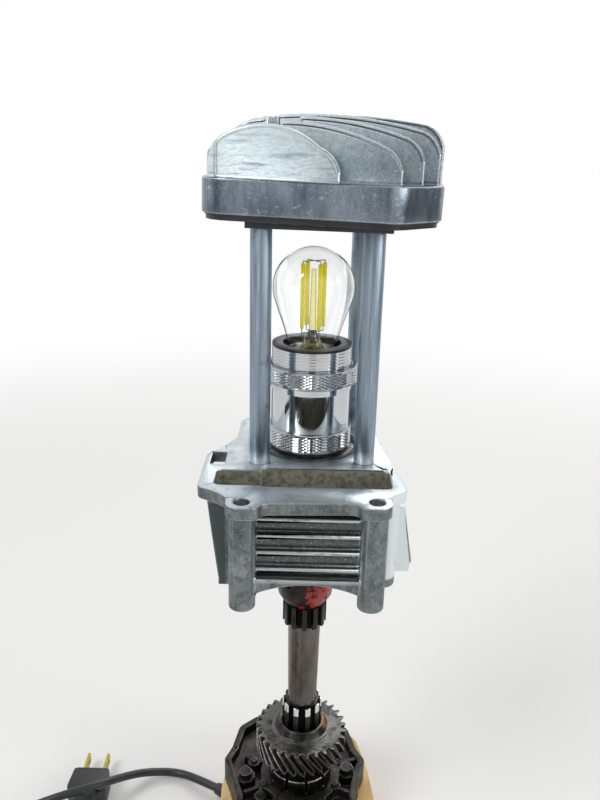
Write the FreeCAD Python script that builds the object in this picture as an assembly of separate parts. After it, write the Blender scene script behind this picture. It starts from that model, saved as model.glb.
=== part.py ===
import FreeCAD, Part
import math
import os

from FreeCAD import Placement, Rotation, Vector

# A table lamp put together from engine and gearbox parts. Millimetres, +Z up.
# The origin is on the surface that the lamp stands on, below the axis of its upright shaft.
# The chain tunnel of the cylinder faces the front, which is -Y.

# Wooden foot
WOOD_HEIGHT = 20.0
WOOD_CORNERS = (
    (-32, 52, 18), (36, 50, 12), (43.5, 20, 30), (47, -20, 26), (38, -50, 16),
    (-10, -56, 30), (-46, -42, 18), (-48.5, 2, 40), (-45, 30, 26),
)
POCKET_RADIUS = 16.0
POCKET_COVER = 1.5
CORD_EXIT = (-46.0, 10.3, 6.0)
CORD_EXIT_ANGLE = 152.0
CORD_INSIDE = 36.0
GROMMET_INSIDE = 14.0
GROMMET_OUTSIDE = 8.0
GROMMET_RADIUS = 4.6
WOOD_SCREW_CIRCLE = 38.0
WOOD_SCREW_RADIUS = 2.0
WOOD_SCREW_LENGTH = 23.0

# Gearbox parts on the foot
PLATE_RIM = 15.0
PLATE_FLOOR = 8.0
PLATE_LAND = 14.0
PLATE_CORNERS = (
    (20, 47, 12), (31, 37, 8), (35.8, 19.5, 5), (40.6, 10, 5), (36.8, 1, 6), (33, -18, 14), (38, -42, 10),
    (12, -47, 12), (-12, -47, 12), (-40, -42, 10), (-37.2, -21, 12), (-42.6, -4, 6), (-47.4, 8.5, 5),
    (-43.2, 19, 6), (-40, 37, 8), (-28, 48, 12),
)
PLATE_RIM_WIDTH = 4.1
PLATE_LAND_RADIUS = 24.0
PLATE_STUDS = ((-33.2, -3.2), (28.5, 2.3))
PLATE_STUD_RADIUS = 3.7
PLATE_RIVETS = ((-28.7, 7.8), (-22.1, -10.2), (-23.4, -18.2), (21.7, 13.6), (21.0, -9.0), (6.8, -22.5))
RIVET_RADIUS = 2.4
HUB_RADIUS = 19.0
HUB_HEIGHT = 22.0
HUB_SLOTS = 10
HUB_SLOT_WIDTH = 1.7
HUB_SLOT_DEPTH = 4.0
HUB_LINE_HEIGHT = 10.0
GEAR_TEETH = 29
GEAR_TIP_RADIUS = 26.8
GEAR_ROOT_RADIUS = 23.8
GEAR_THICKNESS = 14.0
GEAR_HELIX = 35.0
GEAR_SECTIONS = 9
GEAR_BOSS_RADIUS = 17.0
GEAR_BOSS_HEIGHT = 1.0
GEAR_COLLAR_RADIUS = 13.2
GEAR_COLLAR_HEIGHT = 5.0
GEAR_BORE = 11.7

# Shaft and its coupling
SHAFT_LENGTH = 123.5
SHAFT_FOOT_RADIUS = 10.0
SHAFT_FIT = 0.1
SHAFT_LOW_RADIUS = 8.3
SHAFT_TOP_RADIUS = 9.25
LOW_SPLINE_TEETH = 10
LOW_SPLINE_RADIUS = 11.6
LOW_SPLINE_LENGTH = 34.0
TOP_SPLINE_TEETH = 12
TOP_SPLINE_RADIUS = 12.3
TOP_SPLINE_LENGTH = 13.5
SPLINE_DEPTH = 2.0
COUPLING_HEIGHT = 34.5
COUPLING_RADIUS = 16.0
COUPLING_WAIST = 15.0
COUPLING_MOUTH = 11.5

# Hollow threaded pipe that clamps the stack and carries the leads
PIPE_RADIUS = 5.0
PIPE_BORE = 3.6
PIPE_CLEARANCE = 0.3
PIPE_NUT_WIDTH = 16.0
PIPE_NUT_HEIGHT = 5.0
PIPE_WASHER_RADIUS = 9.0
THREAD_CLEARANCE = 0.05
LEAD_RADIUS = 0.9

# Engine cylinder
BLOCK_HEIGHT = 56.0
BLOCK_YAW = 2.5
BORE_RADIUS = 23.5
LINER_WALL = 2.5
BARREL_RADIUS = 29.5
STUD_PITCH = 51.4
DECK_THICKNESS = 6.0
BASE_FLANGE = 7.0
DECK_CORNERS = (
    (-51.5, -58, 7), (-51.5, -20, 6), (-43, -6, 8), (-38, 6, 8), (-38, 37, 8), (36, 37, 8), (36.5, 12, 8),
    (41.5, -30, 10), (45.2, -57, 6), (37, -64, 5), (36.5, -77, 6.5), (23.5, -77.5, 6.5), (20.5, -72, 6),
    (-20.5, -74, 6), (-23, -79.6, 6.5), (-36.6, -79.6, 6.5), (-37.6, -67, 8), (-45, -61, 8),
)
LUG_PLACES = ((-29.8, -72.6), (29.7, -70.0))
COLUMN_PLACES = ((-30.2, -67.0), (29.6, -66.0))
COLUMN_RADIUS = 6.2
BOLT_HOLE = 3.5
WINDOW_X = (-24.0, 23.5)
TUNNEL_X = (-44.2, 38.2)
TUNNEL_Y = (-56.0, -35.2)
TUNNEL_WALL = 3.4
CASE_X = (-48.9, 41.6)
TUNNEL_NECK = 3.0
NECK_DEPTH = 14.0
CASE_LIFT = 6.0
BOLT_DEPTH = 6.5
SIDE_LEAN = ((-47.1, 50.0), (-42.0, 9.5))
DOWEL_PLACE = (-30.6, -46.5)
DOWEL_RADIUS = 4.3
FRONT_FINS = (44.4, 36.1, 27.5, 18.9)
FIN_THICKNESS = 2.6
FRONT_FIN_Y = -67.0
LIP_TOP = 15.5
FIN_STAND = 3.2
SWELL_STAND = 1.0
SWELL_RADIUS = 4.3
RIB_RADIUS = 1.1
LIP_RISE = 5.0
PAD_X = (37.0, 49.5)
PAD_Y = (-55.0, -36.0)
PAD_Z = (9.5, 46.0)
PAD_LEAN = ((49.5, 14.0), (44.2, 50.0))
STUD_HOLE = 3.5

# Piston that closes the bore
PISTON_HEIGHT = 34.0
PISTON_FIT = 0.05
PISTON_DROP = 0.5
CROWN_THICKNESS = 5.0
PISTON_WALL = 3.0
PIN_BORE_DEPTH = 23.5
PIN_BORE_RADIUS = 6.5
RING_LEVELS = (6.0, 10.0, 14.5)
RING_THICKNESS = 1.5
RING_DEPTH = 2.0

# Cage: lower plate, four tubes on studs, upper plate
CAGE_PLATE_WIDTH = 66.0
LOWER_PLATE_THICKNESS = 4.0
TOP_PLATE_THICKNESS = 3.0
TUBE_LENGTH = 112.5
TUBE_RADIUS = 5.0
TUBE_BORE = 3.5
LONG_STUD_RADIUS = 3.0
STUD_NUT_WIDTH = 10.0
STUD_NUT_HEIGHT = 5.0
WASHER_RADIUS = 5.9
WASHER_THICKNESS = 1.0
HEAD_TILT = 1.2
TILT_CLEARANCE = 0.25

# Finned head cover
COVER_YAW = -10.0
COVER_RIM_HEIGHT = 18.0
COVER_WALL = 3.2
COVER_ROOF = 3.5
COVER_FLOOR = 2.0
GASKET_THICKNESS = 0.6
COVER_CORNERS = (
    (-46.5, -44.5, 14), (42, -42, 13), (59.5, -16, 14), (57, 30, 18), (34, 47, 14), (-30, 47, 18), (-47.5, 28, 12),
)
COVER_FIN_THICKNESS = 3.4
COVER_FIN_PITCH = 10.7
COVER_FIN_FIRST = -40.8
COVER_FINS = (
    (16.0, 22.5, 13.5), (41.5, 24.0, 15.0), (50.0, 26.5, 19.0), (56.5, 28.0, 22.0),
    (57.5, 28.5, 25.0), (56.0, 28.5, 25.0), (52.0, 28.0, 24.0), (42.0, 27.0, 20.0),
)
COVER_SCREWS = ((50, 9), (-8, 40.5), (-41, -8), (10, -38))
COVER_SCREW_RADIUS = 2.0
COVER_SCREW_LENGTH = 11.0
COVER_BOSS_RADIUS = 4.5

# Lamp holder
WASHER_HEIGHT = 1.5
FOOT_RING_RADIUS = 21.4
WASHER_INSET = 3.3
FOOT_RING_HEIGHT = 10.0
FOOT_RING_FLOOR = 2.5
SHELL_RADIUS = 20.1
SHELL_WALL = 1.4
SHELL_HEIGHT = 42.0
THREAD_TURNS = 6
THREAD_PITCH = 1.6
THREAD_DEPTH = 0.4
BAND_RADIUS = 20.6
BAND_HEIGHT = 3.8
RING_RADIUS = 23.5
RING_HEIGHT = 8.8
RING_BELOW_TOP = 18.0
RING_FIT = 0.08
INSERT_LIP = 1.3
INSERT_FLOOR = 6.0
INSERT_MOUTH = 14.6
SOCKET_RADIUS = 13.3
SOCKET_WALL = 0.5
SOCKET_HEIGHT = 27.0

# Lamp bulb
BULB_RADIUS = 20.3
BULB_CENTRE = 29.0
BULB_GLASS = 0.8
CAP_RADIUS = 13.05
CAP_HEIGHT = 26.0
CAP_TOP = -2.0
CAP_PITCH = 3.629
FILAMENT_RADIUS = 1.3
FILAMENT_LENGTH = 32.5
FILAMENT_CIRCLE = 6.2
FILAMENT_START = 18.0
STEM_RADIUS = 2.0

# Cord, inline switch and plug
CORD_RADIUS = 2.5
CORD_FIT = 0.02
CORD_ROUTE = (
    (-62.5, 19.1, 6.0), (-80.0, 30.0, 2.6), (-100.0, 25.5, 6.6), (-112.0, 12.5, 15.0),
    (-124.0, -2.3, 22.8), (-149.0, -13.5, 22.8), (-176.0, -19.0, 13.5), (-198.0, -35.0, 7.0),
)
SWITCH_PLACE = (-198.0, -73.0)
SWITCH_LENGTH = 52.0
SWITCH_WIDTH = 20.0
SWITCH_HEIGHT = 14.0
SWITCH_WALL = 2.0
SWITCH_CHANNEL = 12.0
ROCKER_LENGTH = 14.0
ROCKER_WIDTH = 8.0
ROCKER_GAP = 0.3
ROCKER_SWING_GAP = 0.9
PIVOT_RADIUS = 1.0
COIL_CENTRE = (-166.0, -128.5)
COIL_LAYERS = 4
COIL_TURNS = 1.75
COIL_RADIUS = 32.0
COIL_STEP = 6.4
COIL_LAYER_STEP = 5.8
COIL_LIFT = 1.0
TIE_ANGLE = 270.0
TIE_THICKNESS = 0.6
TIE_WIDTH = 8.0
TIE_GAP = 0.3
PLUG_FRONT = (-134.0, 20.5)
PLUG_STRAIGHT = 23.0
PLUG_TAIL = 14.0
PLUG_WIDTH = 24.5
PLUG_HEIGHT = 15.0
PLUG_TAIL_WIDTH = 8.0
PIN_PITCH = 12.7
PIN_LENGTH = 15.9
PIN_ROOT = 8.0
PIN_WIDTH = 6.3
PIN_THICKNESS = 1.5

# Levels of the stack, from the foot up
PLATE_Z = WOOD_HEIGHT
LAND_Z = PLATE_Z + PLATE_LAND
GEAR_Z = LAND_Z + HUB_HEIGHT
SHAFT_TOP_Z = LAND_Z + SHAFT_LENGTH
LOWER_PLATE_Z = SHAFT_TOP_Z + COUPLING_HEIGHT
BLOCK_Z = LOWER_PLATE_Z + LOWER_PLATE_THICKNESS
DECK_Z = BLOCK_Z + BLOCK_HEIGHT
CROWN_Z = DECK_Z - PISTON_DROP
TUBE_TOP_Z = DECK_Z + TUBE_LENGTH
HOLDER_Z = CROWN_Z + WASHER_HEIGHT
SHELL_Z = HOLDER_Z + FOOT_RING_HEIGHT
SHELL_TOP_Z = SHELL_Z + SHELL_HEIGHT
COVER_Z = TUBE_TOP_Z + TOP_PLATE_THICKNESS
RIM_Z = COVER_Z + COVER_FLOOR + GASKET_THICKNESS
ROOF_Z = COVER_Z + COVER_RIM_HEIGHT

UP = Vector(0, 0, 1)
ORIGIN = Vector(0, 0, 0)


def box(x0, x1, y0, y1, z0, z1):
    """A block between two corners."""
    return Part.makeBox(x1 - x0, y1 - y0, z1 - z0, Vector(x0, y0, z0))


def rod(radius, z0, z1, x=0.0, y=0.0):
    """An upright round bar."""
    return Part.makeCylinder(radius, z1 - z0, Vector(x, y, z0))


def sleeve(outer, inner, z0, z1, x=0.0, y=0.0):
    """An upright tube, open at both ends."""
    return rod(outer, z0, z1, x, y).cut(rod(inner, z0 - 1, z1 + 1, x, y))


def turned(profile):
    """A solid turned on the Z axis from (radius, height) points."""
    points = [Vector(r, 0, z) for r, z in profile]
    face = Part.Face(Part.makePolygon(points + points[:1]))
    return face.revolve(ORIGIN, UP, 360)


def prism(points, z0, z1):
    """An upright solid with a straight-sided outline."""
    corners = [Vector(x, y, z0) for x, y in points]
    return Part.Face(Part.makePolygon(corners + corners[:1])).extrude(UP * (z1 - z0))


def around(count, start=0.0):
    """Angles of equal steps in a circle, in degrees."""
    return [start + 360.0 * k / count for k in range(count)]


def polar(radius, angle):
    """The X and Y of a point given by its radius and its angle in degrees."""
    turn = math.radians(angle)
    return radius * math.cos(turn), radius * math.sin(turn)


def rounded_outline(corners, z, inset=0.0):
    """A closed outline of straight edges with an arc at each corner, drawn in by inset."""
    points = [Vector(x, y, z) for x, y, _ in corners]
    if signed_area(corners) < 0:
        points = points[::-1]
        radii = [r for _, _, r in corners][::-1]
    else:
        radii = [r for _, _, r in corners]
    count = len(points)
    moved = []
    for k in range(count):
        before = (points[k] - points[k - 1]).normalize()
        after = (points[(k + 1) % count] - points[k]).normalize()
        inward = (UP.cross(before) + UP.cross(after)).normalize()
        half = before.getAngle(after) / 2
        moved.append(points[k] + inward * (inset / math.cos(half)))
    ends = []
    for k in range(count):
        here = moved[k]
        back = (moved[k - 1] - here).normalize()
        ahead = (moved[(k + 1) % count] - here).normalize()
        half = back.getAngle(ahead) / 2
        radius = max(radii[k] - inset, 0.6)
        room = 0.48 * min((moved[k - 1] - here).Length, (moved[(k + 1) % count] - here).Length)
        reach = min(radius / math.tan(half), room)
        radius = reach * math.tan(half)
        centre = here + (back + ahead).normalize() * (radius / math.sin(half))
        middle = centre + (here - centre).normalize() * radius
        ends.append((here + back * reach, middle, here + ahead * reach))
    edges = []
    for k in range(count):
        start, middle, end = ends[k]
        edges.append(Part.Arc(start, middle, end).toShape())
        edges.append(Part.LineSegment(end, ends[(k + 1) % count][0]).toShape())
    return Part.Wire(edges)


def signed_area(corners):
    """Twice the area inside an outline, positive when it runs anticlockwise."""
    total = 0.0
    for k in range(len(corners)):
        x0, y0 = corners[k - 1][:2]
        x1, y1 = corners[k][:2]
        total += x0 * y1 - x1 * y0
    return total


def slab(corners, z0, z1, inset=0.0):
    """An upright solid with a rounded outline."""
    return Part.Face(rounded_outline(corners, z0, inset)).extrude(UP * (z1 - z0))


def toothed(count, tip, root, z0, z1, tip_share=0.42, root_share=0.58):
    """A straight-toothed bar, such as a spline."""
    points = []
    for angle in around(count):
        for radius, share in ((root, -root_share), (tip, -tip_share), (tip, tip_share), (root, root_share)):
            points.append(polar(radius, angle + share * 180.0 / count))
    return prism(points, z0, z1)


def hex_nut(width, bore, z0, z1, x=0.0, y=0.0):
    """A six-sided nut with a plain bore."""
    corner = width / 2 / math.cos(math.pi / 6)
    nut = prism([polar(corner, a) for a in around(6)], z0, z1)
    nut.translate(Vector(x, y, 0))
    return nut.cut(rod(bore, z0 - 1, z1 + 1, x, y))


def yawed(shape, angle=BLOCK_YAW):
    """The shape turned about the lamp's axis."""
    shape.rotate(ORIGIN, UP, angle)
    return shape


def tilted(shape):
    """The shape tipped to the right with the upper plate."""
    shape.rotate(Vector(0, 0, TUBE_TOP_Z), Vector(0, 1, 0), HEAD_TILT)
    return shape


def save(name, *solids):
    """Writes one node, made of one or more separate solids."""
    shape = solids[0] if len(solids) == 1 else Part.makeCompound(list(solids))
    shape.exportStep("parts/" + name + ".step")
    print(name, "solids", len(shape.Solids), "volume", round(shape.Volume, 1), "valid", shape.isValid())


STUD_PLACES = [(sx * STUD_PITCH / 2, sy * STUD_PITCH / 2) for sy in (-1, 1) for sx in (-1, 1)]


# Paths of round tube

def rounded_path(points):
    """Straight runs joined by tangent arcs, each as large as its two runs allow. Returns a wire and the radii."""
    runs = [(b - a).Length for a, b in zip(points, points[1:])]
    edges, radii, start = [], [], points[0]
    for k in range(1, len(points) - 1):
        back = (points[k - 1] - points[k]).normalize()
        ahead = (points[k + 1] - points[k]).normalize()
        half_turn = (math.pi - back.getAngle(ahead)) / 2
        reach = 0.45 * min(runs[k - 1], runs[k])
        radius = reach / math.tan(half_turn)
        centre = points[k] + (back + ahead).normalize() * (radius / math.cos(half_turn))
        middle = centre + (points[k] - centre).normalize() * radius
        edges.append(Part.LineSegment(start, points[k] + back * reach).toShape())
        start = points[k] + ahead * reach
        edges.append(Part.Arc(points[k] + back * reach, middle, start).toShape())
        radii.append(round(radius, 1))
    edges.append(Part.LineSegment(start, points[-1]).toShape())
    return Part.Wire(edges), radii


def arc_from(start, way, end):
    """The arc from start to end that leaves along way, or a line when they are in line."""
    chord = end - start
    side = chord - way * chord.dot(way)
    if side.Length < 1e-5 * chord.Length:
        return Part.LineSegment(start, end).toShape()
    side.normalize()
    radius = chord.Length ** 2 / (2 * chord.dot(side))
    centre = start + side * radius
    middle = centre + ((start + end) * 0.5 - centre).normalize() * radius
    return Part.Arc(start, middle, end).toShape()


def biarc(start, start_way, end, end_way):
    """Two tangent arcs between two points with a direction at each."""
    gap = end - start
    ways = start_way + end_way
    turn = 2 * (1 - start_way.dot(end_way))
    if turn < 1e-9:
        reach = gap.dot(gap) / (4 * gap.dot(end_way))
    else:
        reach = (-gap.dot(ways) + math.sqrt(gap.dot(ways) ** 2 + turn * gap.dot(gap))) / turn
    near = start + start_way * reach
    far = end - end_way * reach
    middle = (near + far) * 0.5
    return [arc_from(start, start_way, middle), arc_from(middle, (far - near).normalize(), end)]


def tube_on(wire, start, way, radius):
    """A round bar that follows a path from its first point."""
    circle = Part.Wire([Part.Circle(start, way, radius).toShape()])
    return wire.makePipeShell([circle], True, False)


# Foot

def wood_foot():
    foot = slab(WOOD_CORNERS, 0, WOOD_HEIGHT).cut(rod(POCKET_RADIUS, -1, WOOD_HEIGHT + 1))
    inward = Vector(math.cos(math.radians(CORD_EXIT_ANGLE + 180)), math.sin(math.radians(CORD_EXIT_ANGLE + 180)), 0)
    mouth = Vector(*CORD_EXIT)
    foot = foot.cut(Part.makeCylinder(CORD_RADIUS + 0.1, CORD_INSIDE + 20, mouth - inward * 10, inward))
    seat = Part.makeCone(GROMMET_RADIUS, CORD_RADIUS + 1, GROMMET_INSIDE, mouth, inward)
    front = Part.makeCylinder(GROMMET_RADIUS, 8, mouth - inward * 8, inward)
    foot = foot.cut(seat).cut(front)
    for x, y in wood_screw_places():
        foot = foot.cut(rod(WOOD_SCREW_RADIUS + 0.1, -1, WOOD_HEIGHT + 1, x, y))
        foot = foot.cut(Part.makeCone(4.0, WOOD_SCREW_RADIUS, 2.5, Vector(x, y, 1.5)))
        foot = foot.cut(rod(4.0, -1, 1.5, x, y))
    save("wood_foot", foot)
    save("pocket_cover", rod(POCKET_RADIUS - 0.05, 0, POCKET_COVER))

    shape = Part.makeCone(GROMMET_RADIUS, CORD_RADIUS + 1, GROMMET_INSIDE, mouth, inward)
    tail = Part.makeCone(GROMMET_RADIUS, CORD_RADIUS + 0.9, GROMMET_OUTSIDE, mouth, inward * -1)
    bore = Part.makeCylinder(CORD_RADIUS + CORD_FIT, 60, mouth - inward * 30, inward)
    save("cord_grommet", shape.fuse(tail).cut(bore))


def wood_screw_places():
    return [polar(WOOD_SCREW_CIRCLE, a) for a in (62, 118, 250)]


def wood_screws():
    screws = []
    for x, y in wood_screw_places():
        head = Part.makeCone(3.8, WOOD_SCREW_RADIUS, 2.3, Vector(x, y, 1.6))
        screws.append(head.fuse(rod(WOOD_SCREW_RADIUS, 1.6, 1.6 + WOOD_SCREW_LENGTH, x, y)))
    save("wood_screws", *screws)


def clutch_plate():
    plate = slab(PLATE_CORNERS, PLATE_Z, PLATE_Z + PLATE_RIM)
    recess = slab(PLATE_CORNERS, PLATE_Z + PLATE_FLOOR, PLATE_Z + PLATE_RIM + 1, PLATE_RIM_WIDTH)
    plate = plate.cut(recess.cut(rod(PLATE_LAND_RADIUS, PLATE_Z, PLATE_Z + PLATE_RIM + 1)))
    plate = plate.cut(rod(PLATE_LAND_RADIUS + 1, LAND_Z, LAND_Z + 5))
    for x, y in PLATE_STUDS:
        plate = plate.fuse(rod(PLATE_STUD_RADIUS + 2.2, PLATE_Z + 1, LAND_Z, x, y))
    for x, y in PLATE_RIVETS:
        plate = plate.fuse(rod(RIVET_RADIUS + 1.3, PLATE_Z + 1, LAND_Z, x, y))
    for angle in (20, 75, 105, 160, 205, 235, 305, 335):
        rib = box(PLATE_LAND_RADIUS - 2, 37, -1.2, 1.2, PLATE_Z + 2, LAND_Z)
        rib.rotate(ORIGIN, UP, angle)
        plate = plate.fuse(rib)
    for x, y in PLATE_STUDS:
        plate = plate.cut(rod(PLATE_STUD_RADIUS - 1, LAND_Z - 6, LAND_Z + 1, x, y))
    for x, y in PLATE_RIVETS:
        plate = plate.cut(rod(RIVET_RADIUS - 1, LAND_Z - 4, LAND_Z + 1, x, y))
    for x, y in wood_screw_places():
        plate = plate.cut(rod(WOOD_SCREW_RADIUS + THREAD_CLEARANCE, 0, WOOD_SCREW_LENGTH + 3, x, y))
    plate = plate.cut(rod(PIPE_RADIUS + PIPE_CLEARANCE, 0, LAND_Z + 1))
    save("clutch_plate", plate)
    studs = []
    for x, y in PLATE_STUDS:
        studs.append(rod(PLATE_STUD_RADIUS, LAND_Z, LAND_Z + 3, x, y).fuse(rod(2.6, LAND_Z - 5.5, LAND_Z, x, y)))
    save("plate_studs", *studs)
    rivets = []
    for x, y in PLATE_RIVETS:
        head = Part.makeCone(RIVET_RADIUS, RIVET_RADIUS - 0.6, 1.6, Vector(x, y, LAND_Z))
        rivets.append(head.fuse(rod(1.3, LAND_Z - 3.5, LAND_Z, x, y)))
    save("plate_rivets", *rivets)


def slotted_hub():
    hub = rod(HUB_RADIUS, LAND_Z, GEAR_Z).cut(rod(SHAFT_FOOT_RADIUS + SHAFT_FIT, LAND_Z - 1, GEAR_Z + 1))
    for angle in around(HUB_SLOTS, 270 - 25):
        slot = box(HUB_RADIUS - HUB_SLOT_DEPTH, HUB_RADIUS + 1, -HUB_SLOT_WIDTH / 2, HUB_SLOT_WIDTH / 2,
                   LAND_Z + 2, GEAR_Z + 1)
        slot.rotate(ORIGIN, UP, angle)
        hub = hub.cut(slot)
    line = LAND_Z + HUB_LINE_HEIGHT
    hub = hub.cut(sleeve(HUB_RADIUS + 1, HUB_RADIUS - 0.5, line, line + 0.6))
    save("slotted_hub", hub)


def helical_gear():
    points = []
    for angle in around(GEAR_TEETH):
        for radius, share in ((GEAR_ROOT_RADIUS, -0.62), (GEAR_TIP_RADIUS, -0.26), (GEAR_TIP_RADIUS, 0.26),
                              (GEAR_ROOT_RADIUS, 0.62)):
            points.append(polar(radius, angle + share * 180.0 / GEAR_TEETH))
    twist = math.degrees(GEAR_THICKNESS * math.tan(math.radians(GEAR_HELIX)) / GEAR_TIP_RADIUS)
    wires = []
    for number in range(GEAR_SECTIONS):
        share = number / (GEAR_SECTIONS - 1)
        wire = Part.makePolygon([Vector(x, y, GEAR_Z + share * GEAR_THICKNESS) for x, y in points + points[:1]])
        wire.rotate(ORIGIN, UP, -twist * share)
        wires.append(wire)
    top = GEAR_Z + GEAR_THICKNESS
    gear = Part.makeLoft(wires, True, True)
    collar = Part.makeCone(GEAR_BOSS_RADIUS - 0.8, GEAR_COLLAR_RADIUS, GEAR_COLLAR_HEIGHT, Vector(0, 0, top))
    gear = gear.fuse(rod(GEAR_BOSS_RADIUS, top - 1, top + GEAR_BOSS_HEIGHT)).fuse(collar)
    gear = gear.cut(rod(GEAR_BORE, GEAR_Z - 1, top + 10))
    save("helical_gear", gear)


# Shaft

def main_shaft():
    low = GEAR_Z + LOW_SPLINE_LENGTH
    high = SHAFT_TOP_Z - TOP_SPLINE_LENGTH
    shaft = rod(SHAFT_FOOT_RADIUS, LAND_Z, GEAR_Z)
    shaft = shaft.fuse(toothed(LOW_SPLINE_TEETH, LOW_SPLINE_RADIUS, LOW_SPLINE_RADIUS - SPLINE_DEPTH, GEAR_Z, low))
    shaft = shaft.fuse(Part.makeCone(SHAFT_LOW_RADIUS, SHAFT_TOP_RADIUS, high - low, Vector(0, 0, low)))
    shaft = shaft.fuse(toothed(TOP_SPLINE_TEETH, TOP_SPLINE_RADIUS, TOP_SPLINE_RADIUS - SPLINE_DEPTH, high, SHAFT_TOP_Z))
    save("main_shaft", shaft.cut(rod(PIPE_RADIUS + PIPE_CLEARANCE, LAND_Z - 1, SHAFT_TOP_Z + 1)))


def coupling():
    profile = (
        (PIPE_RADIUS + PIPE_CLEARANCE, 0), (COUPLING_MOUTH, 0), (COUPLING_WAIST, 5.5), (COUPLING_RADIUS, 12.5),
        (COUPLING_RADIUS, COUPLING_HEIGHT), (PIPE_RADIUS + PIPE_CLEARANCE, COUPLING_HEIGHT),
    )
    piece = turned(profile)
    for angle in around(8, 11):
        groove = box(COUPLING_RADIUS - 1.2, COUPLING_RADIUS + 1, -1.6, 1.6, 14, COUPLING_HEIGHT + 1)
        groove.rotate(ORIGIN, UP, angle)
        piece = piece.cut(groove)
    piece.translate(Vector(0, 0, SHAFT_TOP_Z))
    save("coupling", piece)


# Hollow pipe, its nuts and washers, and the two leads in it

def pipe_levels():
    """The underside of each washer and nut on the pipe."""
    crown = CROWN_Z - CROWN_THICKNESS
    floor = HOLDER_Z + FOOT_RING_FLOOR
    washers = (PLATE_Z - WASHER_THICKNESS, BLOCK_Z, crown - WASHER_THICKNESS)
    nuts = (PLATE_Z - WASHER_THICKNESS - PIPE_NUT_HEIGHT, BLOCK_Z + WASHER_THICKNESS,
            crown - WASHER_THICKNESS - PIPE_NUT_HEIGHT, floor)
    return washers, nuts


def lamp_pipe():
    washers, nuts = pipe_levels()
    low = nuts[0] - 1.0
    high = nuts[-1] + PIPE_NUT_HEIGHT + 1.5
    save("lamp_pipe", sleeve(PIPE_RADIUS, PIPE_BORE, low, high))
    bore = PIPE_RADIUS + THREAD_CLEARANCE
    rings = [sleeve(PIPE_WASHER_RADIUS, bore, z, z + WASHER_THICKNESS) for z in washers]
    save("pipe_washers", *rings)
    save("pipe_nuts", *[hex_nut(PIPE_NUT_WIDTH, bore, z, z + PIPE_NUT_HEIGHT) for z in nuts])
    inward = math.radians(CORD_EXIT_ANGLE + 180)
    end = Vector(CORD_EXIT[0] + CORD_INSIDE * math.cos(inward), CORD_EXIT[1] + CORD_INSIDE * math.sin(inward),
                 CORD_EXIT[2])
    level = Vector(0, 0, CORD_EXIT[2])
    run = end - level
    way = (end - level).normalize()
    leads = []
    for side in (-1, 1):
        offset = UP.cross(way) * (1.1 * side)
        points = [Vector(0, 0, high + 2) + offset, level + offset, level + way * (run.Length - 1.6) + offset]
        wire, radii = rounded_path(points)
        leads.append(tube_on(wire, points[0], Vector(0, 0, -1), LEAD_RADIUS))
    save("pipe_leads", *leads)


# Engine cylinder

def lower_plate():
    half = CAGE_PLATE_WIDTH / 2
    plate = box(-half, half, -half, half, LOWER_PLATE_Z, BLOCK_Z).cut(rod(PIPE_RADIUS + PIPE_CLEARANCE, 0, 500))
    for x, y in STUD_PLACES:
        plate = plate.cut(rod(STUD_HOLE, 0, 500, x, y))
    save("lower_plate", yawed(plate))


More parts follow.
